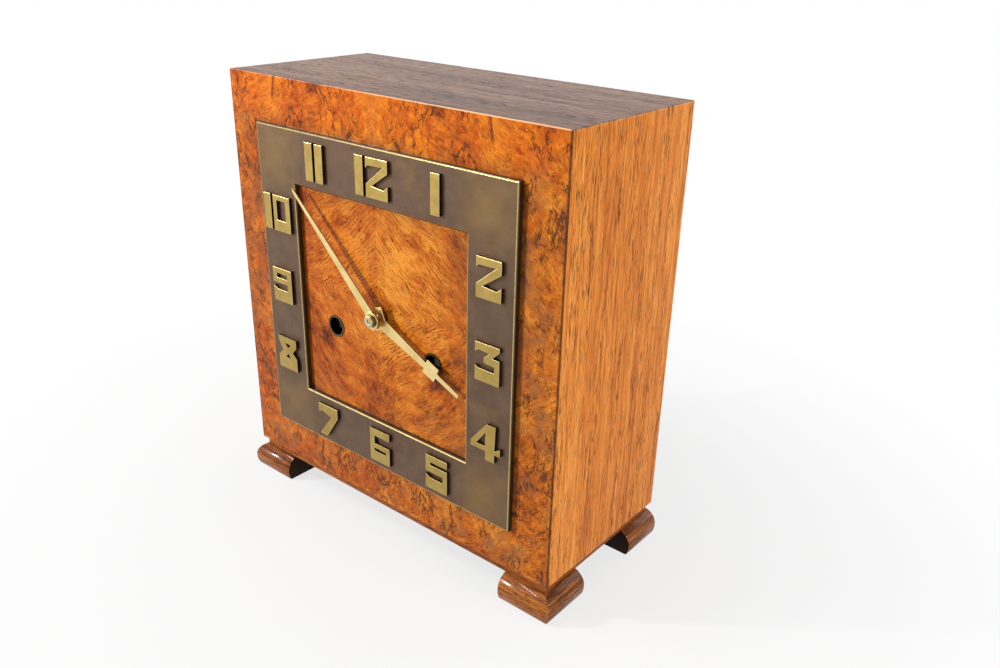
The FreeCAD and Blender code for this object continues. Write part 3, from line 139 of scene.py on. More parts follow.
def near_edges(tree, place, low, high, reach):
    # 1 at the edges of a box-shaped piece, falling to 0 this far in from them
    split = knot(tree, "SeparateXYZ", {0: place})
    gaps = []
    for axis in range(3):
        middle = (low[axis] + high[axis]) / 2
        offset = reckon(tree, "ABSOLUTE", reckon(tree, "SUBTRACT", split.outputs[axis], middle))
        gaps.append(reckon(tree, "SUBTRACT", (high[axis] - low[axis]) / 2, offset))
    least = reckon(tree, "MINIMUM", gaps[0], gaps[1])
    most = reckon(tree, "MAXIMUM", gaps[0], gaps[1])
    second = reckon(tree, "MAXIMUM", least, reckon(tree, "MINIMUM", most, gaps[2]))
    return spread(tree, second, 0.0, reach, 1.0, 0.0)


FIBRE_DRAW = 0.035
PORE_DRAW = 0.075
TONE_MIDDLE = 0.485
TONE_HALF_SPREAD = 0.115
RUBBED_REACH = 0.0016


def straight_grain(name, grain, light, middle, dark, pore, worn, sheen, box=(CASE_LOW, CASE_HIGH),
                   lacquer=0.1, crisp=1.0, closeness=1.0):
    # light, middle and dark wood, its pores, and the bare wood at worn edges, in that order
    finish, tree, body, place = start_finish(name, Coat_Weight=lacquer, Coat_Roughness=0.13,
                                             Specular_IOR_Level=0.08)
    long, short = (drawn_out(tree, place, [closeness * (draw if axis == grain else 1.0) for axis in "xyz"])
                   for draw in (FIBRE_DRAW, PORE_DRAW))
    bands = cloud(tree, long, 0.016, 3.0, 0.5, 0.6)
    streaks = cloud(tree, long, 0.0030, 4.0, 0.6)
    fibres = cloud(tree, long, 0.0007, 2.0, 0.6)
    tone = reckon(tree, "ADD", reckon(tree, "MULTIPLY", bands, 0.26),
                  reckon(tree, "MULTIPLY", streaks, 0.36))
    tone = reckon(tree, "ADD", tone, reckon(tree, "MULTIPLY", fibres, 0.38))
    half = TONE_HALF_SPREAD / crisp
    colour = shades(tree, tone, (TONE_MIDDLE - half, dark), (TONE_MIDDLE, middle),
                    (TONE_MIDDLE + half, light))
    dashes = spread(tree, cloud(tree, short, 0.00062, 2.0, 0.7), 0.55, 0.61)
    patches = spread(tree, cloud(tree, long, 0.0050, 3.0), 0.36, 0.62, 0.25, 1.0)
    open_pores = reckon(tree, "MULTIPLY", dashes, patches)
    colour = tint(tree, reckon(tree, "MULTIPLY", open_pores, 0.85), colour, pore)
    rubbed = reckon(tree, "MULTIPLY", near_edges(tree, place, *box, RUBBED_REACH),
                    spread(tree, cloud(tree, place, 0.007, 3.0), 0.40, 0.62))
    colour = tint(tree, reckon(tree, "MULTIPLY", rubbed, 0.55), colour, worn)
    tree.links.new(colour, body.inputs["Base Color"])
    satin = spread(tree, streaks, 0.3, 0.7, sheen - 0.06, sheen + 0.06)
    matt = reckon(tree, "ADD", satin, reckon(tree, "MULTIPLY", open_pores, 0.25))
    tree.links.new(matt, body.inputs["Roughness"])
    relief = reckon(tree, "SUBTRACT", reckon(tree, "MULTIPLY", fibres, 0.3), open_pores)
    dented(tree, body, relief, 0.00012)
    return finish


side_wood = straight_grain("side wood", "z", stain(248, 164, 74), stain(226, 130, 40), stain(178, 88, 18),
                           stain(74, 32, 8), stain(240, 176, 110), 0.38)
# painted reflection: the top's paler, greyer tone stands for the sheen of the light above on the brown wood
top_wood_and_sheen = straight_grain("top wood and sheen", "x", stain(150, 117, 96), stain(119, 86, 69), stain(76, 44, 32),
                          stain(22, 10, 8), stain(170, 130, 104), 0.34, lacquer=0.05, crisp=1.5)
inner_wood = straight_grain("inside wood", "x", stain(196, 158, 112), stain(178, 138, 94),
                            stain(150, 110, 70), stain(110, 78, 50), stain(205, 170, 125), 0.6, lacquer=0.0)


def body_name(node):
    return frame["nodes"][node]["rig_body"]


SHARP_EDGE = radians(28)
SMOOTH_EDGE = radians(32)
END_TILT = 0.35


def soften(name, node, finish, radius, segments=2, sharp=None, smooth=False, end_finish=None):
    # a copy of a board or casting with its sharp edges taken off, in place of the plain solid
    mesh = frame["nodes"][node].data.copy()
    mesh.materials.clear()
    mesh.materials.append(finish)
    if end_finish:
        mesh.materials.append(end_finish)
    shape = bmesh.new()
    shape.from_mesh(mesh)
    bmesh.ops.remove_doubles(shape, verts=shape.verts, dist=0.000002)
    bmesh.ops.dissolve_limit(shape, angle_limit=radians(1.0), verts=shape.verts, edges=shape.edges)
    chosen = []
    for edge in shape.edges:
        if len(edge.link_faces) == 2 and edge.calc_face_angle() > SHARP_EDGE:
            if sharp is None or sharp(edge):
                chosen.append(edge)
    if radius:
        bmesh.ops.bevel(shape, geom=chosen, offset=radius, segments=segments, profile=0.5,
                        affect="EDGES", clamp_overlap=True)
    bmesh.ops.recalc_face_normals(shape, faces=shape.faces)
    shape.to_mesh(mesh)
    shape.free()
    for face in mesh.polygons:
        face.use_smooth = smooth
        face.material_index = 1 if end_finish and abs(face.normal.z) < END_TILT else 0
    if smooth:
        mesh.set_sharp_from_angle(angle=SMOOTH_EDGE)
    piece = bpy.data.objects.new(name, mesh)
    bpy.context.scene.collection.objects.link(piece)
    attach(piece, body_name(node))
    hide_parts(node)
    return piece


def on_case_edge(edge):
    # true for an edge that runs along one of the outer edges of the whole case
    for end in edge.verts:
        gaps = []
        for axis in range(3):
            gaps.append(min(abs(end.co[axis] - CASE_LOW[axis]), abs(end.co[axis] - CASE_HIGH[axis])))
        if sorted(gaps)[1] > 0.00005:
            return False
    return True


edge_wood = straight_grain("edge wood", "x", stain(230, 146, 66), stain(208, 118, 40), stain(162, 80, 20),
                           stain(74, 32, 8), stain(226, 160, 98), 0.40)


def edge_rear(piece, finish):
    # the rear edge of a board is a lighter strip of long grain
    piece.data.materials.append(finish)
    for face in piece.data.polygons:
        if face.normal.y > 0.7:
            face.material_index = len(piece.data.materials) - 1


edge_rear(soften("case_top", "top_board", top_wood_and_sheen, CORNER_SOFTENING, 3, on_case_edge,
                 end_finish=side_wood), edge_wood)
soften("case_left_side", "left_side", side_wood, CORNER_SOFTENING, 3, on_case_edge)
soften("case_right_side", "right_side", side_wood, CORNER_SOFTENING, 3, on_case_edge)


def finish_node(finish, *nodes):
    # a plain solid that already has the right shape keeps it, and gets its finish
    for node in nodes:
        mesh = frame["nodes"][node].data
        if not mesh.materials:
            mesh.materials.append(finish)
        for place in range(len(mesh.materials)):
            mesh.materials[place] = finish


finish_node(inner_wood, "front_board")
edge_rear(soften("case_bottom", "bottom_board", inner_wood, 0.0003, 2, on_case_edge),
          edge_wood)

# Front: two leaves of burr walnut veneer, opened like a book and joined close to the middle,
# glued over the front board and polished.
SEAM = -0.003
MATCH_HEIGHT = 0.150
GROWTH_SLOPE = radians(-38)
CLEAR_TOP = (0.232, 0.246)
DARK_CORNER = (0.1188, 0.1196)


def burr_walnut():
    finish, tree, body, place = start_finish("burr walnut", Coat_Weight=0.06, Coat_Roughness=0.06,
                                             Specular_IOR_Level=0.08)
    split = knot(tree, "SeparateXYZ", {0: place})
    from_seam = reckon(tree, "SUBTRACT", split.outputs[0], SEAM)
    across = reckon(tree, "ABSOLUTE", from_seam)
    up = reckon(tree, "ABSOLUTE", reckon(tree, "SUBTRACT", split.outputs[2], MATCH_HEIGHT))
    drift = reckon(tree, "MULTIPLY", split.outputs[2], 0.22)
    leaf = knot(tree, "CombineXYZ", {0: across, 1: drift, 2: up}).outputs[0]
    swirl = knot(tree, "TexNoise", {"Vector": leaf, "Scale": 24.0, "Detail": 1.0}).outputs[1]
    swirl = knot(tree, "VectorMath", {0: swirl, 1: (0.5, 0.5, 0.5)}, operation="SUBTRACT").outputs[0]
    swirl = knot(tree, "VectorMath", {0: swirl, "Scale": 0.014}, operation="SCALE").outputs[0]
    jitter = knot(tree, "TexNoise", {"Vector": leaf, "Scale": 260.0, "Detail": 2.0}).outputs[1]
    jitter = knot(tree, "VectorMath", {0: jitter, 1: (0.5, 0.5, 0.5)}, operation="SUBTRACT").outputs[0]
    jitter = knot(tree, "VectorMath", {0: jitter, "Scale": 0.0020}, operation="SCALE").outputs[0]
    bent = knot(tree, "VectorMath", {0: leaf, 1: swirl}, operation="ADD").outputs[0]
    bent = knot(tree, "VectorMath", {0: bent, 1: jitter}, operation="ADD").outputs[0]
    # growth runs from the seam down and outwards in every quarter
    growth = knot(tree, "VectorRotate", {"Vector": bent, "Axis": (0.0, 1.0, 0.0),
                                         "Angle": GROWTH_SLOPE}).outputs[0]
    waves = cloud(tree, drawn_out(tree, growth, (0.40, 1.0, 1.0)), 0.0085, 8.0, 0.64, 0.2)
    fine = cloud(tree, drawn_out(tree, growth, (0.30, 1.0, 1.0)), 0.0014, 4.0, 0.70)
    clouds = cloud(tree, leaf, 0.040, 3.0, 0.5)
    outward = spread(tree, reckon(tree, "MAXIMUM", across, up), 0.042, 0.085)
    knotty = cloud(tree, bent, 0.0060, 8.0, 0.66, 0.5)
    ridged = reckon(tree, "MULTIPLY", fine, spread(tree, outward, 0.0, 1.0, 0.28, 0.20))
    rolled = knot(tree, "Mix", {0: reckon(tree, "MULTIPLY", outward, 0.75), 2: waves, 3: knotty}).outputs[0]
    tone = reckon(tree, "ADD", reckon(tree, "MULTIPLY", rolled, 0.44), ridged)
    tone = reckon(tree, "ADD", tone, reckon(tree, "MULTIPLY", clouds, 0.28))
    tone = reckon(tree, "ADD", tone, spread(tree, outward, 0.0, 1.0, 0.0, 0.035))
    colour = shades(tree, tone, (0.38, stain(84, 38, 10)), (0.43, stain(146, 74, 18)),
                    (0.49, stain(184, 102, 26)), (0.58, stain(218, 142, 50)))
    # light bars of curl lie across the growth
    curl = cloud(tree, drawn_out(tree, growth, (1.0, 1.0, 0.25)), 0.0020, 2.0, 0.5)
    curl = spread(tree, curl, 0.35, 0.65, 0.0, 0.35)
    colour = tint(tree, curl, colour, stain(250, 180, 96), "SOFT_LIGHT")
    # fine dark ripples side by side along the growth, broken here and there
    bars = knot(tree, "TexWave", {"Vector": growth, "Scale": 160.0, "Distortion": 4.0, "Detail": 3.0,
                                  "Detail Scale": 0.6}, wave_type="BANDS", bands_direction="Z").outputs[1]
    broken = cloud(tree, drawn_out(tree, growth, (0.35, 1.0, 1.0)), 0.0026, 3.0, 0.6)
    broken = spread(tree, broken, 0.42, 0.56)
    region = spread(tree, cloud(tree, leaf, 0.020, 3.0, 0.55), 0.38, 0.58, 0.25, 1.0)
    region = reckon(tree, "MULTIPLY", region, spread(tree, outward, 0.0, 1.0, 1.0, 0.45))
    rippled = reckon(tree, "MULTIPLY", spread(tree, bars, 0.26, 0.06),
                     reckon(tree, "MULTIPLY", broken, region))
    colour = tint(tree, reckon(tree, "MULTIPLY", rippled, 0.85), colour, stain(84, 38, 12))
    # short dark strokes
    strokes = cloud(tree, drawn_out(tree, growth, (0.22, 1.0, 1.0)), 0.0016, 4.0, 0.65)
    strokes = reckon(tree, "MULTIPLY", spread(tree, strokes, 0.57, 0.64), spread(tree, waves, 0.62, 0.42))
    colour = tint(tree, reckon(tree, "MULTIPLY", strokes, 0.75), colour, stain(62, 28, 10))
    # dark wandering veins, upright near the borders, with greyer wood beside them
    upright = drawn_out(tree, bent, (1.0, 1.0, 0.40))
    line = cloud(tree, upright, 0.0080, 5.0, 0.62, 0.4)
    line = reckon(tree, "ABSOLUTE", reckon(tree, "SUBTRACT", line, 0.5))
    where = spread(tree, cloud(tree, bent, 0.013, 3.0, 0.6), 0.44, 0.56)
    where = reckon(tree, "MULTIPLY", where, outward)
    veins = reckon(tree, "MULTIPLY", spread(tree, line, 0.008, 0.040, 1.0, 0.0), where)
    grey = spread(tree, cloud(tree, leaf, 0.017, 4.0, 0.6), 0.46, 0.62)
    grey = reckon(tree, "MULTIPLY", grey, outward)
    # the wood is clearer and lighter along the top
    high = spread(tree, split.outputs[2], *CLEAR_TOP)
    grey = reckon(tree, "MULTIPLY", grey, reckon(tree, "SUBTRACT", 1.0, reckon(tree, "MULTIPLY", high, 0.7)))
    colour = tint(tree, reckon(tree, "MULTIPLY", high, 0.55), colour, stain(255, 214, 130), "SOFT_LIGHT")
    colour = tint(tree, reckon(tree, "MULTIPLY", grey, 0.60), colour, stain(132, 84, 50))
    colour = tint(tree, reckon(tree, "MULTIPLY", veins, 0.80), colour, stain(60, 30, 14))
    specks = spread(tree, cloud(tree, bent, 0.0011, 2.0), 0.63, 0.69, 0.0, 0.5)
    colour = tint(tree, specks, colour, stain(70, 34, 14))
    # painted shade: the left leaf, laid the other way up, takes the light differently and is painted a
    # little darker and redder
    left = spread(tree, from_seam, -0.0002, 0.0002, 0.26, 0.0)
    left = reckon(tree, "MULTIPLY", left, reckon(tree, "SUBTRACT", 1.0, reckon(tree, "MULTIPLY", high, 0.8)))
    colour = tint(tree, left, colour, stain(200, 96, 30), "MULTIPLY")
    # lacquer rubbed thin along the right of the top edge, and dark at the upright corners
    rubbed = spread(tree, split.outputs[2], CASE_HIGH[2] - 0.0006, CASE_HIGH[2] - 0.0003)
    rubbed = reckon(tree, "MULTIPLY", rubbed, spread(tree, split.outputs[0], -0.05, 0.06))
    colour = tint(tree, reckon(tree, "MULTIPLY", rubbed, 0.85), colour, stain(240, 190, 140))
    corner = spread(tree, reckon(tree, "ABSOLUTE", split.outputs[0]), *DARK_CORNER, 0.0, 0.75)
    colour = tint(tree, corner, colour, stain(84, 44, 20))
    tree.links.new(colour, body.inputs["Base Color"])
    tree.links.new(spread(tree, tone, 0.35, 0.65, 0.34, 0.22), body.inputs["Roughness"])
    dented(tree, body, reckon(tree, "SUBTRACT", fine, veins), 0.00004)
    return finish


soften("front_leaves", "front_veneer", burr_walnut(), 0.0004, 2, on_case_edge)

# Plinth and feet: a dark set-back frame under the case, and four mitred feet with a rounded front.
# They are stained deeper than the case and polished; the moulding's round catches a long highlight.
FEET_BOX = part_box("feet")
FOOT_INSIDE = (0.1, 0.045)
FOOT_TONES = (stain(182, 108, 42), stain(134, 72, 22), stain(80, 34, 8), stain(24, 10, 4),
              stain(206, 146, 88))
foot_wood = straight_grain("foot wood", "x", *FOOT_TONES, 0.36, FEET_BOX, 0.25, crisp=1.5, closeness=1.8)
foot_wood_sideways = straight_grain("foot wood sideways", "y", *FOOT_TONES, 0.36, FEET_BOX, 0.25, crisp=1.5,
                                    closeness=1.8)
# painted shade: the feet's inner ends under the case get near-black end grain
foot_end_shaded = straight_grain("foot end grain and shade", "z", stain(60, 36, 20), stain(44, 26, 15), stain(30, 18, 12),
                          stain(20, 12, 9), stain(70, 44, 28), 0.5, FEET_BOX, 0.0)
plinth_wood = straight_grain("plinth wood", "x", stain(170, 96, 44), stain(142, 76, 32), stain(104, 52, 20),
                             stain(50, 24, 12), stain(180, 116, 66), 0.42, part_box("plinth"), 0.1)
soften("case_plinth", "plinth", plinth_wood, 0.0004)
feet = soften("case_feet", "feet", foot_wood, 0.0005, 2, smooth=True)
feet.data.materials.append(foot_wood_sideways)
feet.data.materials.append(foot_end_shaded)
for face in feet.data.polygons:
    # the moulding's grain turns with the mitre, and the sawn ends under the case are painted dark: dark end
    # grain with painted shade
    if abs(face.normal.x) > abs(face.normal.y):
        face.material_index = 2 if abs(face.center.x) < FOOT_INSIDE[0] else 1
    elif abs(face.normal.y) > 0.9 and abs(face.center.y) < FOOT_INSIDE[1]:
        face.material_index = 2

# Dial frame: one square frame of bronze, browned all over, with its front edges filed and given a painted
# highlight.
# The brown is thin at the corners, where a yellow cloud shows.
FRAME_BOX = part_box("dial_frame")
DIAL = (0.0, (FRAME_BOX[0][2] + FRAME_BOX[1][2]) / 2)
FRAME_HALF = (FRAME_BOX[1][0] - FRAME_BOX[0][0]) / 2
WINDOW_HALF = 0.0641
CORNER_CLOUD = 0.079
BEVEL = 0.00065
ARRIS = 0.00032


def browned_bronze():
    finish, tree, body, place = start_finish("browned bronze", Metallic=0.75)
    split = knot(tree, "SeparateXYZ", {0: place})
    across = reckon(tree, "ABSOLUTE", reckon(tree, "SUBTRACT", split.outputs[0], DIAL[0]))
    up = reckon(tree, "ABSOLUTE", reckon(tree, "SUBTRACT", split.outputs[2], DIAL[1]))
    from_middle = reckon(tree, "MAXIMUM", across, up)
    gaps = [reckon(tree, "ABSOLUTE", reckon(tree, "SUBTRACT", reach, CORNER_CLOUD))
            for reach in (across, up)]
    corner_gap = reckon(tree, "MAXIMUM", *gaps)
    blotch = cloud(tree, place, 0.020, 3.0, 0.5)
    thin = reckon(tree, "MULTIPLY", spread(tree, corner_gap, 0.002, 0.024, 1.0, 0.0),
                  spread(tree, blotch, 0.3, 0.7, 0.5, 1.0))
    thin = reckon(tree, "MAXIMUM", thin, spread(tree, blotch, 0.60, 0.78, 0.0, 0.45))
    brown = shades(tree, cloud(tree, place, 0.009, 5.0, 0.6), (0.3, stain(92, 71, 54)),
                   (0.7, stain(108, 85, 67)))
    colour = tint(tree, reckon(tree, "MULTIPLY", thin, 0.55), brown, stain(152, 118, 60))
    # the bevels and sides are browned too, with a little yellow showing through
    front = reckon(tree, "SUBTRACT", split.outputs[1], FRAME_BOX[0][1])
    side = spread(tree, front, 0.0001, 0.0007)
    colour = tint(tree, reckon(tree, "MULTIPLY", side, 0.9), colour, stain(70, 58, 36))
    # the front arrises carry a painted highlight, outside and inside, but not under the top of the window,
    # whose bevel faces down into shade
    outer = reckon(tree, "ABSOLUTE", reckon(tree, "SUBTRACT", from_middle, FRAME_HALF - BEVEL))
    outer = spread(tree, outer, ARRIS * 0.6, ARRIS, 1.0, 0.0)
    inner = reckon(tree, "ABSOLUTE", reckon(tree, "SUBTRACT", from_middle, WINDOW_HALF + BEVEL))
    inner = spread(tree, inner, ARRIS * 0.6, ARRIS, 1.0, 0.0)
    under = spread(tree, split.outputs[2], DIAL[1] + WINDOW_HALF - 0.001, DIAL[1] + WINDOW_HALF, 1.0, 0.1)
    under = reckon(tree, "MAXIMUM", under, spread(tree, from_middle, 0.09, 0.091))
    inner = reckon(tree, "MULTIPLY", inner, under)
    filed_and_highlit = reckon(tree, "MULTIPLY", reckon(tree, "MAXIMUM", outer, inner),
                   reckon(tree, "SUBTRACT", 1.0, side))
    marks = cloud(tree, drawn_out(tree, place, (1.0, 0.2, 1.0)), 0.0005, 2.0)
    arris_highlight = reckon(tree, "MULTIPLY", filed_and_highlit, spread(tree, marks, 0.3, 0.7, 0.55, 0.95))
    colour = tint(tree, arris_highlight, colour, stain(214, 188, 118))
    tree.links.new(colour, body.inputs["Base Color"])
    brushed = cloud(tree, drawn_out(tree, place, (0.12, 1.0, 1.0)), 0.0005, 2.0)
    rough = spread(tree, brushed, 0.3, 0.7, 0.36, 0.50)
    rough = reckon(tree, "SUBTRACT", rough, reckon(tree, "MULTIPLY", filed_and_highlit, 0.12))
    tree.links.new(rough, body.inputs["Roughness"])
    dented(tree, body, reckon(tree, "ADD", brushed, reckon(tree, "MULTIPLY", marks, filed_and_highlit)), 0.00002)
    return finish


finish_node(browned_bronze(), "dial_frame")

# Numerals: sawn brass, pinned and glued on the frame. Their faces are rubbed flat with a fine paper,
# their edges are broken and carry a painted highlight, and their sawn sides are painted dark, tarnish with
# painted shade.


def rubbed_brass(name, light, deep, side_tarnish_and_shade, sheen, face_grain):
    finish, tree, body, place = start_finish(name, Metallic=1.0)
    # frontal is 1 on the faces that look to the front and 0 on the sides
    facing = knot(tree, "SeparateXYZ", {0: tree.nodes["Texture Coordinate"].outputs["Normal"]})
    frontal = reckon(tree, "ABSOLUTE", facing.outputs[1])
    patch = cloud(tree, place, 0.009, 5.0, 0.6)
    colour = shades(tree, patch, (0.32, deep), (0.68, light))
    # painted shade: faces that don't look to the front get the dark side colour, over their tarnish
    colour = tint(tree, spread(tree, frontal, 0.25, 0.45, 1.0, 0.0), colour, side_tarnish_and_shade)
    # painted highlight: the edges between face and side are painted pale
    edge_highlight = reckon(tree, "MULTIPLY", spread(tree, frontal, 0.45, 0.60),
                   spread(tree, frontal, 0.90, 0.985, 1.0, 0.0))
    colour = tint(tree, reckon(tree, "MULTIPLY", edge_highlight, 0.55), colour, stain(232, 208, 148))
    tree.links.new(colour, body.inputs["Base Color"])
    scratches = cloud(tree, drawn_out(tree, place, face_grain), 0.0004, 2.0, 0.6)
    tree.links.new(spread(tree, scratches, 0.3, 0.7, sheen - 0.06, sheen + 0.10), body.inputs["Roughness"])
    dented(tree, body, scratches, 0.000012)
    return finish


numeral_finish = rubbed_brass("numeral brass", stain(178, 152, 88), stain(160, 134, 72), stain(44, 34, 18),
                              0.42, (0.15, 1.0, 1.0))
for hour in range(1, 13):
    soften("hour_%02d" % hour, "numeral_%d" % hour, numeral_finish, 0.00022, 2)

# Winding holes: two short brass linings with a thin lip, gone dark with age. They are pressed into
# the front, so that the key goes through veneer and board to the winding squares.
lining_finish = rubbed_brass("lining brass", stain(112, 90, 58), stain(74, 58, 36), stain(36, 28, 18),
                             0.40, (1.0, 1.0, 1.0))
soften("winding_linings", "winding_ferrules", lining_finish, 0.0, smooth=True)

# Hands: sawn from thin brass sheet, filed to shape, polished and lacquered a pale gold.
# A domed brass boss carries the minute hand, and a small steel nut holds both on.
hand_finish = rubbed_brass("hand brass", stain(236, 212, 150), stain(214, 186, 120), stain(128, 102, 54),
                           0.34, (1.0, 1.0, 0.2))
soften("minute_hand_blade", "minute_hand", hand_finish, 0.00018, 2)
soften("hour_hand_blade", "hour_hand", hand_finish, 0.00018, 2)
nut_finish = rubbed_brass("nut steel", stain(206, 196, 168), stain(168, 158, 132), stain(126, 112, 82),
                          0.30, (1.0, 1.0, 1.0))
soften("hand_nut_cap", "hand_nut", nut_finish, 0.00035, 2)

# Movement: plates, wheels and barrels of hard brass, fine ground with a straight grain,
# held and carried by steel pillars and arbors. The winding arbors are oiled steel, painted nearly black as
# painted shade for the deep winding holes.


def ground_metal(name, light, deep, stained, sheen, grain, metallic=1.0):
    finish, tree, body, place = start_finish(name, Metallic=metallic)
    patch = cloud(tree, place, 0.030, 3.0, 0.5)
    colour = shades(tree, patch, (0.25, deep), (0.70, light))
    spots = spread(tree, cloud(tree, place, 0.0040, 3.0, 0.7), 0.64, 0.78, 0.0, 0.4)
    colour = tint(tree, spots, colour, stained)
    lines = cloud(tree, drawn_out(tree, place, grain), 0.0005, 3.0, 0.6)
    colour = tint(tree, spread(tree, lines, 0.3, 0.7, 0.0, 0.25), colour, deep)
    tree.links.new(colour, body.inputs["Base Color"])
    tree.links.new(spread(tree, lines, 0.3, 0.7, sheen - 0.05, sheen + 0.12), body.inputs["Roughness"])
    dented(tree, body, lines, 0.000015)
    return finish


plate_brass = ground_metal("plate brass", stain(226, 196, 124), stain(196, 162, 92), stain(140, 112, 66),
                           0.32, (1.0, 1.0, 0.06))
wheel_brass = ground_metal("wheel brass", stain(232, 200, 120), stain(204, 168, 88), stain(150, 118, 62),
                           0.28, (0.3, 1.0, 0.3))
ground_steel = ground_metal("ground steel", stain(190, 192, 196), stain(150, 152, 158), stain(110, 100, 92),
                            0.30, (1.0, 0.08, 1.0))
finish_node(plate_brass, "front_plate", "back_plate", "suspension_cock", "fly")
finish_node(wheel_brass, "going_barrel", "strike_barrel", "going_second_wheel", "strike_second_wheel",
            "centre_wheel", "third_wheel", "escape_wheel", "cannon_pinion", "minute_wheel", "hour_wheel",
            "pin_wheel", "warning_wheel")
finish_node(ground_steel, "plate_pillars", "pillar_nuts", "movement_posts", "going_click", "strike_click",
            "anchor", "suspension_spring", "pendulum_rod")
# painted shade: the winding arbors are coloured nearly black so that the holes they sit in look dark
oiled_shaded_steel = ground_metal("oiled shaded steel", stain(96, 94, 92), stain(62, 60, 60), stain(70, 50, 38),
                           0.34, (1.0, 0.08, 1.0))
finish_node(oiled_shaded_steel, "going_winding_arbor", "strike_winding_arbor")

# Hammer: a brass arm and head that strike the gong, and a tail that the pin wheel's pins lift.
# The tail is filed thinner than in the plain solid, to pass the warning wheel's pinion with room to spare.
HAMMER_PIVOT = (-0.054, 0.1708)
TAIL_LAYER = (-0.0158, -0.0136)
TAIL_ROOT = 0.0034
TAIL_TIP = 0.0008
TAIL_THINNED = 0.55
hammer = soften("hammer_forging", "hammer", wheel_brass, 0.00015, 1, smooth=True)
tail = []
for point in hammer.data.vertices:
    reach = Vector((point.co.x - HAMMER_PIVOT[0], point.co.z - HAMMER_PIVOT[1]))
    if TAIL_LAYER[0] < point.co.y < TAIL_LAYER[1] and reach.length > TAIL_ROOT:
        tail.append((point, reach))
tail_end = max(reach.length for point, reach in tail)
towards = sum((reach for point, reach in tail if reach.length > tail_end - TAIL_TIP), Vector((0.0, 0.0)))
towards.normalize()
for point, reach in tail:
    middle = towards * reach.dot(towards)
    slim = middle + (reach - middle) * TAIL_THINNED
    point.co.x = HAMMER_PIVOT[0] + slim.x
    point.co.z = HAMMER_PIVOT[1] + slim.y

# Pendulum: a brass bob turned to the shape of a lens, with a short sleeve for the rod,
# over a milled rating nut that carries it and raises or lowers it on the rod's thread.
BOB_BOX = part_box("pendulum_bob")
ROD_DEPTH = (BOB_BOX[0][1] + BOB_BOX[1][1]) / 2
BOB_RADIUS = BOB_BOX[1][0]
BOB_HALF = (BOB_BOX[1][1] - BOB_BOX[0][1]) / 2
BOB_HEIGHT = BOB_BOX[1][2] - BOB_RADIUS
LENS_SHARES = [(0.30, -1.0), (0.55, -0.93), (0.78, -0.74), (0.92, -0.48), (0.985, -0.24), (1.0, -0.10)]
SLEEVE_OUTLINE = [(0.0017, 0.0), (0.0023, 0.0003), (0.0023, 0.0026), (0.0017, 0.0030)]


def turned(shape, outline, origin, axis, sides=64):
    # a lathe-turned solid: radius and reach along the axis, from end to end, closed at both ends
    loops = []
    for radius, reach in outline:
        loop = []
        for step in range(sides):
            angle = radians(360) * step / sides
            u, v = radius * cos(angle), radius * sin(angle)
            spot = (u, reach, v) if axis == "y" else (u, v, reach)
            loop.append(shape.verts.new(Vector(origin) + Vector(spot)))
        loops.append(loop)
    for near, far in zip(loops, loops[1:]):
        for step in range(sides):
            after = (step + 1) % sides
            shape.faces.new((near[step], near[after], far[after], far[step]))
    shape.faces.new(loops[0])
    shape.faces.new(loops[-1])


def finished(name, node, shape, finish, crease=32):
    # makes a piece from a bare shape and puts it in place of the plain solid
    bmesh.ops.recalc_face_normals(shape, faces=shape.faces)
    mesh = bpy.data.meshes.new(name)
    shape.to_mesh(mesh)
    shape.free()
    placed(name, node, mesh, finish, crease)


def placed(name, node, mesh, finish, crease=32):
    # puts a finished mesh in place of the plain solid, smooth but for its creases
    mesh.materials.clear()
    mesh.materials.append(finish)
    for face in mesh.polygons:
        face.use_smooth = True
        face.material_index = 0
    mesh.set_sharp_from_angle(angle=radians(crease))
    piece = bpy.data.objects.new(name, mesh)
    bpy.context.scene.collection.objects.link(piece)
    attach(piece, body_name(node))
    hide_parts(node)


bob_brass = ground_metal("bob brass", stain(226, 192, 112), stain(204, 166, 88), stain(150, 118, 62),
                         0.25, (0.12, 1.0, 0.12))
bob = bmesh.new()
lens = [(BOB_RADIUS * across, BOB_HALF * along) for across, along in LENS_SHARES]
lens += [(across, -along) for across, along in lens[::-1]]
lens = [(0.001, -BOB_HALF)] + lens + [(0.001, BOB_HALF)]
turned(bob, lens, (0.0, ROD_DEPTH, BOB_HEIGHT), "y")
turned(bob, SLEEVE_OUTLINE, (0.0, ROD_DEPTH, BOB_BOX[0][2]), "z", 32)
finished("lens_bob", "pendulum_bob", bob, bob_brass)


def socket_key(tree, name):
    # the identifier by which a modifier knows this named input
    return next(item.identifier for item in tree.interface.items_tree
                if item.item_type == "SOCKET" and item.in_out == "INPUT" and item.name == name)


def start_rule(name, finish, **sizes):
    # an empty node tree with named sizes; gives back the tree, its inputs and a way to add nodes
    rule = bpy.data.node_groups.new(name, "GeometryNodeTree")
    rule.interface.new_socket("Geometry", in_out="OUTPUT", socket_type="NodeSocketGeometry")
    for label, value in sizes.items():
        kind = "NodeSocketInt" if isinstance(value, int) else "NodeSocketFloat"
        rule.interface.new_socket(label.replace("_", " "), in_out="INPUT", socket_type=kind)
    given = rule.nodes.new("NodeGroupInput").outputs

    def add(kind, inputs, **settings):
        made = rule.nodes.new(kind)
        for setting, value in settings.items():
            setattr(made, setting, value)
        for place, value in inputs.items():
            if isinstance(value, bpy.types.NodeSocket):
                rule.links.new(value, made.inputs[place])
            else:
                made.inputs[place].default_value = value
        return made

    def end(geometry):
        plain = add("GeometryNodeRealizeInstances", {0: geometry}).outputs[0]
        coloured = add("GeometryNodeSetMaterial", {"Geometry": plain, "Material": finish}).outputs[0]
        rule.links.new(coloured, rule.nodes.new("NodeGroupOutput").inputs[0])

    return rule, given, add, end


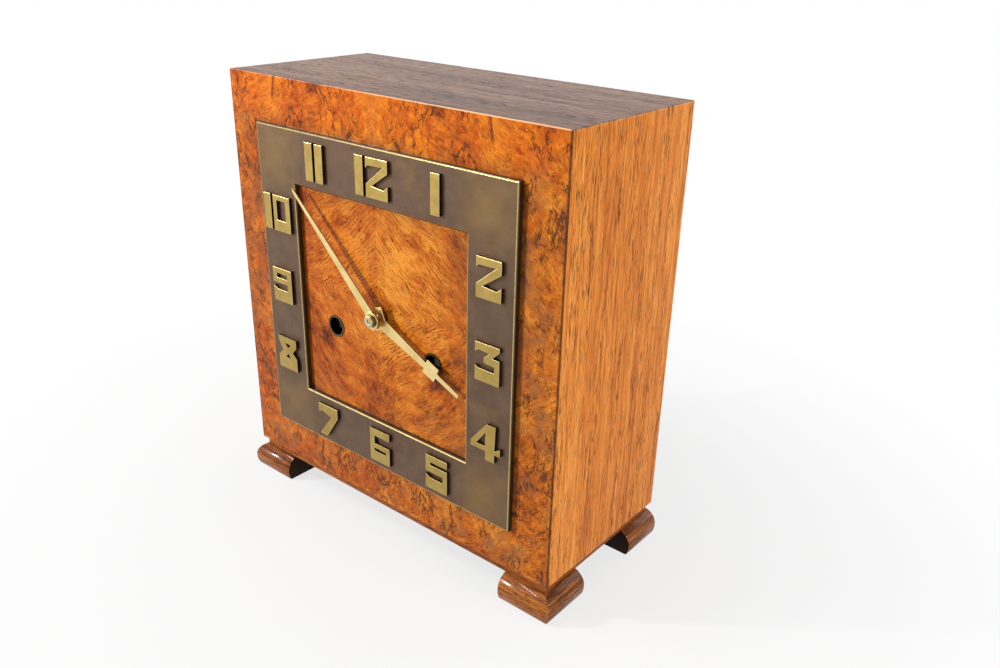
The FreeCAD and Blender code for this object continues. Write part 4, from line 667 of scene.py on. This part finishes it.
def follow_rule(name, rule, sizes):
    # runs the rule once with these sizes and gives back the plain mesh
    holder = bpy.data.objects.new(name + "_rule", bpy.data.meshes.new(name + "_rule"))
    bpy.context.scene.collection.objects.link(holder)
    step = holder.modifiers.new("rule", "NODES")
    step.node_group = rule
    for label, value in sizes.items():
        step[socket_key(rule, label.replace("_", " "))] = value
    bpy.context.view_layer.update()
    shown = holder.evaluated_get(bpy.context.evaluated_depsgraph_get())
    mesh = bpy.data.meshes.new_from_object(shown)
    mesh.name = name
    holder.modifiers.remove(step)
    bpy.data.objects.remove(holder)
    return mesh


NUT_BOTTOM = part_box("rating_nut")[0][2]
NUT_SIZES = dict(Radius=0.00385, Thickness=0.0026, Ridges=36, Ridge_radius=0.00032, Hub_radius=0.0024,
                 Hub_height=0.0014)
rule, given, add, end = start_rule("milled nut", bob_brass, **NUT_SIZES)
disc = add("GeometryNodeMeshCylinder", {"Vertices": 48, "Radius": given["Radius"],
                                        "Depth": given["Thickness"]}).outputs[0]
rim = add("GeometryNodeMeshCircle", {"Vertices": given["Ridges"], "Radius": given["Radius"]}).outputs[0]
ridge = add("GeometryNodeMeshCylinder", {"Vertices": 6, "Radius": given["Ridge radius"],
                                         "Depth": given["Thickness"]}).outputs[0]
milling = add("GeometryNodeInstanceOnPoints", {"Points": rim, "Instance": ridge}).outputs[0]
hub = add("GeometryNodeMeshCylinder", {"Vertices": 32, "Radius": given["Hub radius"],
                                       "Depth": given["Hub height"]}).outputs[0]
both_heights = add("ShaderNodeMath", {0: given["Thickness"], 1: given["Hub height"]},
                   operation="ADD").outputs[0]
hub_rise = add("ShaderNodeMath", {0: both_heights, 1: 0.5}, operation="MULTIPLY").outputs[0]
hub_lift = add("ShaderNodeCombineXYZ", {2: hub_rise}).outputs[0]
raised_hub = add("GeometryNodeTransform", {"Geometry": hub, "Translation": hub_lift}).outputs[0]
whole_nut = add("GeometryNodeJoinGeometry", {})
for form in (disc, milling, raised_hub):
    rule.links.new(form, whole_nut.inputs[0])
end(whole_nut.outputs[0])
nut_mesh = follow_rule("milled_nut", rule, NUT_SIZES)
nut_mesh.transform(Matrix.Translation((0.0, ROD_DEPTH, NUT_BOTTOM + NUT_SIZES["Thickness"] / 2)))
placed("milled_nut", "rating_nut", nut_mesh, bob_brass, 28)

# Gong: round steel wire wound in a flat coil and blued, its inner end forged to a flat boss,
# which a stud holds to a black cast block on the case floor.
gong_blue = ground_metal("gong steel", stain(92, 100, 128), stain(58, 64, 88), stain(80, 62, 52),
                         0.34, (1.0, 0.2, 1.0))
block_black = ground_metal("gong block iron", stain(58, 57, 56), stain(38, 38, 38), stain(74, 58, 46),
                           0.55, (1.0, 1.0, 1.0), 0.2)
GONG_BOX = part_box("gong_coil")
BLOCK_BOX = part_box("gong_block")
GONG_HEIGHT = 0.0708
GONG_BEARING = radians(82.3)
GONG_SIZES = dict(Inner_radius=0.0065, Outer_radius=0.0359, Turns=3.0, Wire_radius=0.00115,
                  Points_per_turn=56)
GONG_MIDDLE = ((BLOCK_BOX[0][0] + BLOCK_BOX[1][0]) / 2, (GONG_BOX[0][1] + GONG_BOX[1][1]) / 2, GONG_HEIGHT)
BOSS_OUTLINE = [(0.0030, -0.00125), (0.0064, -0.00125), (0.0070, -0.0008), (0.0070, 0.0008),
                (0.0064, 0.00125), (0.0030, 0.00125)]
rule, given, add, end = start_rule("wound gong", gong_blue, **GONG_SIZES)
spiral = add("GeometryNodeCurveSpiral", {"Resolution": given["Points per turn"], "Rotations": given["Turns"],
                                         "Start Radius": given["Inner radius"],
                                         "End Radius": given["Outer radius"], "Height": 0.0}).outputs[0]
wire = add("GeometryNodeCurvePrimitiveCircle", {"Resolution": 12, "Radius": given["Wire radius"]}).outputs[0]
wound = add("GeometryNodeCurveToMesh", {"Curve": spiral, "Profile Curve": wire, "Fill Caps": True})
end(wound.outputs[0])
gong_mesh = follow_rule("wound_gong", rule, GONG_SIZES)
gong_mesh.transform(Matrix.Translation(GONG_MIDDLE) @ Matrix.Rotation(radians(90), 4, "X")
                    @ Matrix.Rotation(GONG_BEARING, 4, "Z"))
gong_shape = bmesh.new()
gong_shape.from_mesh(gong_mesh)
turned(gong_shape, BOSS_OUTLINE, GONG_MIDDLE, "y", 48)
finished("gong_winding", "gong_coil", gong_shape, gong_blue)
soften("gong_casting", "gong_block", block_black, 0.0008, 2, smooth=True)

# Back door: one plain board of straight-grained wood with its edges softened, hung inside the case,
# and a small turned pull glued to its outer face.
door_wood = straight_grain("door wood", "z", stain(204, 140, 84), stain(176, 112, 60), stain(138, 82, 40),
                           stain(74, 42, 24), stain(210, 160, 116), 0.45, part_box("back_door"), 0.1)
soften("door_board", "back_door", door_wood, 0.0008, 3)
PULL_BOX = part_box("door_pull")
PULL_REACH = PULL_BOX[1][1] - PULL_BOX[0][1]
PULL_RADIUS = (PULL_BOX[1][0] - PULL_BOX[0][0]) / 2
PULL_FOOT = ((PULL_BOX[0][0] + PULL_BOX[1][0]) / 2, PULL_BOX[0][1],
             (PULL_BOX[0][2] + PULL_BOX[1][2]) / 2)
PULL_SHARES = [(0.62, 0.0), (0.62, 0.05), (0.50, 0.10), (0.46, 0.28), (0.50, 0.44), (0.72, 0.56),
               (0.92, 0.64), (1.0, 0.76), (0.98, 0.86), (0.86, 0.94), (0.60, 0.985), (0.25, 1.0)]
pull_wood = straight_grain("pull wood", "y", stain(128, 68, 30), stain(96, 48, 20), stain(56, 26, 12),
                           stain(24, 10, 4), stain(164, 104, 62), 0.34, PULL_BOX, 0.25)
pull = bmesh.new()
pull_outline = [(PULL_RADIUS * across, PULL_REACH * along) for across, along in PULL_SHARES]
turned(pull, pull_outline, PULL_FOOT, "y", 48)
finished("turned_pull", "door_pull", pull, pull_wood, 50)

# Hinges: two brass butt hinges of three knuckles on a steel pin, each leaf held by three
# countersunk brass screws with a slot across the head.
hinge_brass = ground_metal("hinge brass", stain(206, 176, 110), stain(170, 140, 82), stain(116, 92, 56),
                           0.36, (1.0, 1.0, 0.1))
finish_node(hinge_brass, "case_hinges", "door_hinge_leaves")
LEAF_REAR = 0.0552
LOWEST_SCREW = 0.0613
HEAD_PROUD = 0.0001
SLOT_BEARING = radians(25)
SCREW_COLUMNS = (("case_hinge_screws", "case_hinges", 0.1162),
                 ("door_hinge_screws", "door_hinge_leaves", 0.1054))
SCREW_SIZES = dict(Head_radius=0.0019, Head_height=0.0004, Slot_width=0.00055, Screw_spacing=0.0095,
                   Screws_per_leaf=3, Hinge_spacing=0.144, Hinges=2)
screw_brass = ground_metal("screw brass", stain(190, 158, 92), stain(150, 120, 66), stain(96, 74, 44),
                           0.30, (1.0, 1.0, 1.0))
rule, given, add, end = start_rule("hinge screws", screw_brass, **SCREW_SIZES)
head = add("GeometryNodeMeshCylinder", {"Vertices": 28, "Radius": given["Head radius"],
                                        "Depth": given["Head height"]}).outputs[0]
across = add("ShaderNodeMath", {0: given["Head radius"], 1: 3.0}, operation="MULTIPLY").outputs[0]
slot_box = add("ShaderNodeCombineXYZ", {0: across, 1: given["Slot width"],
                                        2: given["Head height"]}).outputs[0]
saw = add("GeometryNodeMeshCube", {"Size": slot_box}).outputs[0]
slot_rise = add("ShaderNodeMath", {0: given["Head height"], 1: 0.4}, operation="MULTIPLY").outputs[0]
slot_lift = add("ShaderNodeCombineXYZ", {2: slot_rise}).outputs[0]
saw = add("GeometryNodeTransform", {"Geometry": saw, "Translation": slot_lift}).outputs[0]
slotted = add("GeometryNodeMeshBoolean", {0: head, 1: saw}, operation="DIFFERENCE").outputs[0]
# the heads look to the rear
screw = add("GeometryNodeTransform", {"Geometry": slotted,
                                      "Rotation": (radians(-90), SLOT_BEARING, 0.0)}).outputs[0]
next_screw = add("ShaderNodeCombineXYZ", {2: given["Screw spacing"]}).outputs[0]
row = add("GeometryNodeMeshLine", {"Count": given["Screws per leaf"], "Offset": next_screw}).outputs[0]
leaf_screws = add("GeometryNodeInstanceOnPoints", {"Points": row, "Instance": screw}).outputs[0]
next_hinge = add("ShaderNodeCombineXYZ", {2: given["Hinge spacing"]}).outputs[0]
pair = add("GeometryNodeMeshLine", {"Count": given["Hinges"], "Offset": next_hinge}).outputs[0]
end(add("GeometryNodeInstanceOnPoints", {"Points": pair, "Instance": leaf_screws}).outputs[0])
for name, node, column in SCREW_COLUMNS:
    screws = follow_rule(name, rule, SCREW_SIZES)
    screws.transform(Matrix.Translation((column, LEAF_REAR + HEAD_PROUD, LOWEST_SCREW)))
    piece = bpy.data.objects.new(name, screws)
    bpy.context.scene.collection.objects.link(piece)
    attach(piece, body_name(node))

# Studio: a pale paper floor that keeps the clock's shadow and fades to white further out, and a
# white surround. A small lamp stands at the left; large soft ones stand above, at the right and behind.
bpy.ops.mesh.primitive_plane_add(size=6.0)
floor = bpy.context.object
floor.name = "studio_floor"
paper = bpy.data.materials.new("studio paper")
paper.use_nodes = True
paper_tree = paper.node_tree
paper_body = paper_tree.nodes["Principled BSDF"]
paper_body.inputs["Base Color"].default_value = (0.62, 0.62, 0.62, 1.0)
paper_body.inputs["Roughness"].default_value = 0.9
paper_body.inputs["Specular IOR Level"].default_value = 0.0
paper_place = paper_tree.nodes.new("ShaderNodeTexCoord").outputs["Object"]
away = knot(paper_tree, "VectorMath", {0: paper_place}, operation="LENGTH").outputs[1]
paper_rays = paper_tree.nodes.new("ShaderNodeLightPath")
seen = reckon(paper_tree, "MAXIMUM", paper_rays.outputs["Is Camera Ray"],
              paper_rays.outputs["Is Glossy Ray"])
fade = reckon(paper_tree, "MULTIPLY", spread(paper_tree, away, 0.08, 0.40, 0.72, 1.0), seen)
glow = knot(paper_tree, "Emission", {"Color": (1.0, 1.0, 1.0, 1.0), "Strength": 1.0}).outputs[0]
paper_mix = knot(paper_tree, "MixShader", {0: fade, 1: paper_body.outputs[0], 2: glow}).outputs[0]
paper_tree.links.new(paper_mix, paper_tree.nodes["Material Output"].inputs["Surface"])
floor.data.materials.append(paper)

scene = bpy.context.scene
scene.view_settings.view_transform = "Standard"
world = bpy.data.worlds.new("studio surround")
scene.world = world
world.use_nodes = True
air = world.node_tree
rays = air.nodes.new("ShaderNodeLightPath")
seen = reckon(air, "MAXIMUM", rays.outputs["Is Camera Ray"],
              reckon(air, "MAXIMUM", rays.outputs["Is Glossy Ray"], rays.outputs["Is Transmission Ray"]))
soft = knot(air, "Background", {"Color": (1.0, 1.0, 1.0, 1.0), "Strength": 0.15}).outputs[0]
white = knot(air, "Background", {"Color": (1.0, 1.0, 1.0, 1.0), "Strength": 1.0}).outputs[0]
air.links.new(knot(air, "MixShader", {0: seen, 1: soft, 2: white}).outputs[0],
              air.nodes["World Output"].inputs["Surface"])


def lamp(name, place, aim, size, power, height=0.0):
    light = bpy.data.lights.new(name, "AREA")
    light.shape = "RECTANGLE" if height else "DISK"
    light.size = size
    light.size_y = height or size
    light.energy = power
    stand = bpy.data.objects.new(name, light)
    stand.location = place
    stand.rotation_euler = (Vector(aim) - Vector(place)).to_track_quat("-Z", "Y").to_euler()
    scene.collection.objects.link(stand)


lamp("left lamp", (-1.25, -1.15, 0.75), (0.0, 0.0, 0.13), 0.13, 33.0)
lamp("right lamp", (1.58, 0.08, 0.60), (0.0, 0.0, 0.13), 1.0, 14.0)
lamp("top lamp", (0.1, 0.3, 1.7), (0.0, 0.0, 0.13), 1.2, 3.5)
lamp("top strip", (-0.51, -0.47, 1.08), (0.1, -0.05, 0.01), 0.5, 6.5, 0.045)
lamp("back lamp", (0.6, 1.6, 0.9), (0.0, 0.0, 0.13), 1.2, 7.0)

# Camera: to the right of the front and above it, at the distance that the perspective shows,
# with the turn given by the directions of the picture's right, down and depth.
CAMERA_PLACE = Vector((0.34071, -0.37235, 0.34053))
CAMERA_RIGHT = Vector((0.77219, 0.63494, 0.02392))
CAMERA_DOWN = Vector((0.27548, -0.30063, -0.91309))
CAMERA_AHEAD = Vector((-0.57257, 0.71167, -0.40706))
view = bpy.data.cameras.new("camera")
view.sensor_width = 36.0
view.lens = 32.937
view.clip_start = 0.01
camera = bpy.data.objects.new("camera", view)
camera_turn = Matrix((CAMERA_RIGHT, -CAMERA_DOWN, -CAMERA_AHEAD)).transposed().to_4x4()
camera.matrix_world = Matrix.Translation(CAMERA_PLACE) @ camera_turn
scene.collection.objects.link(camera)
scene.camera = camera
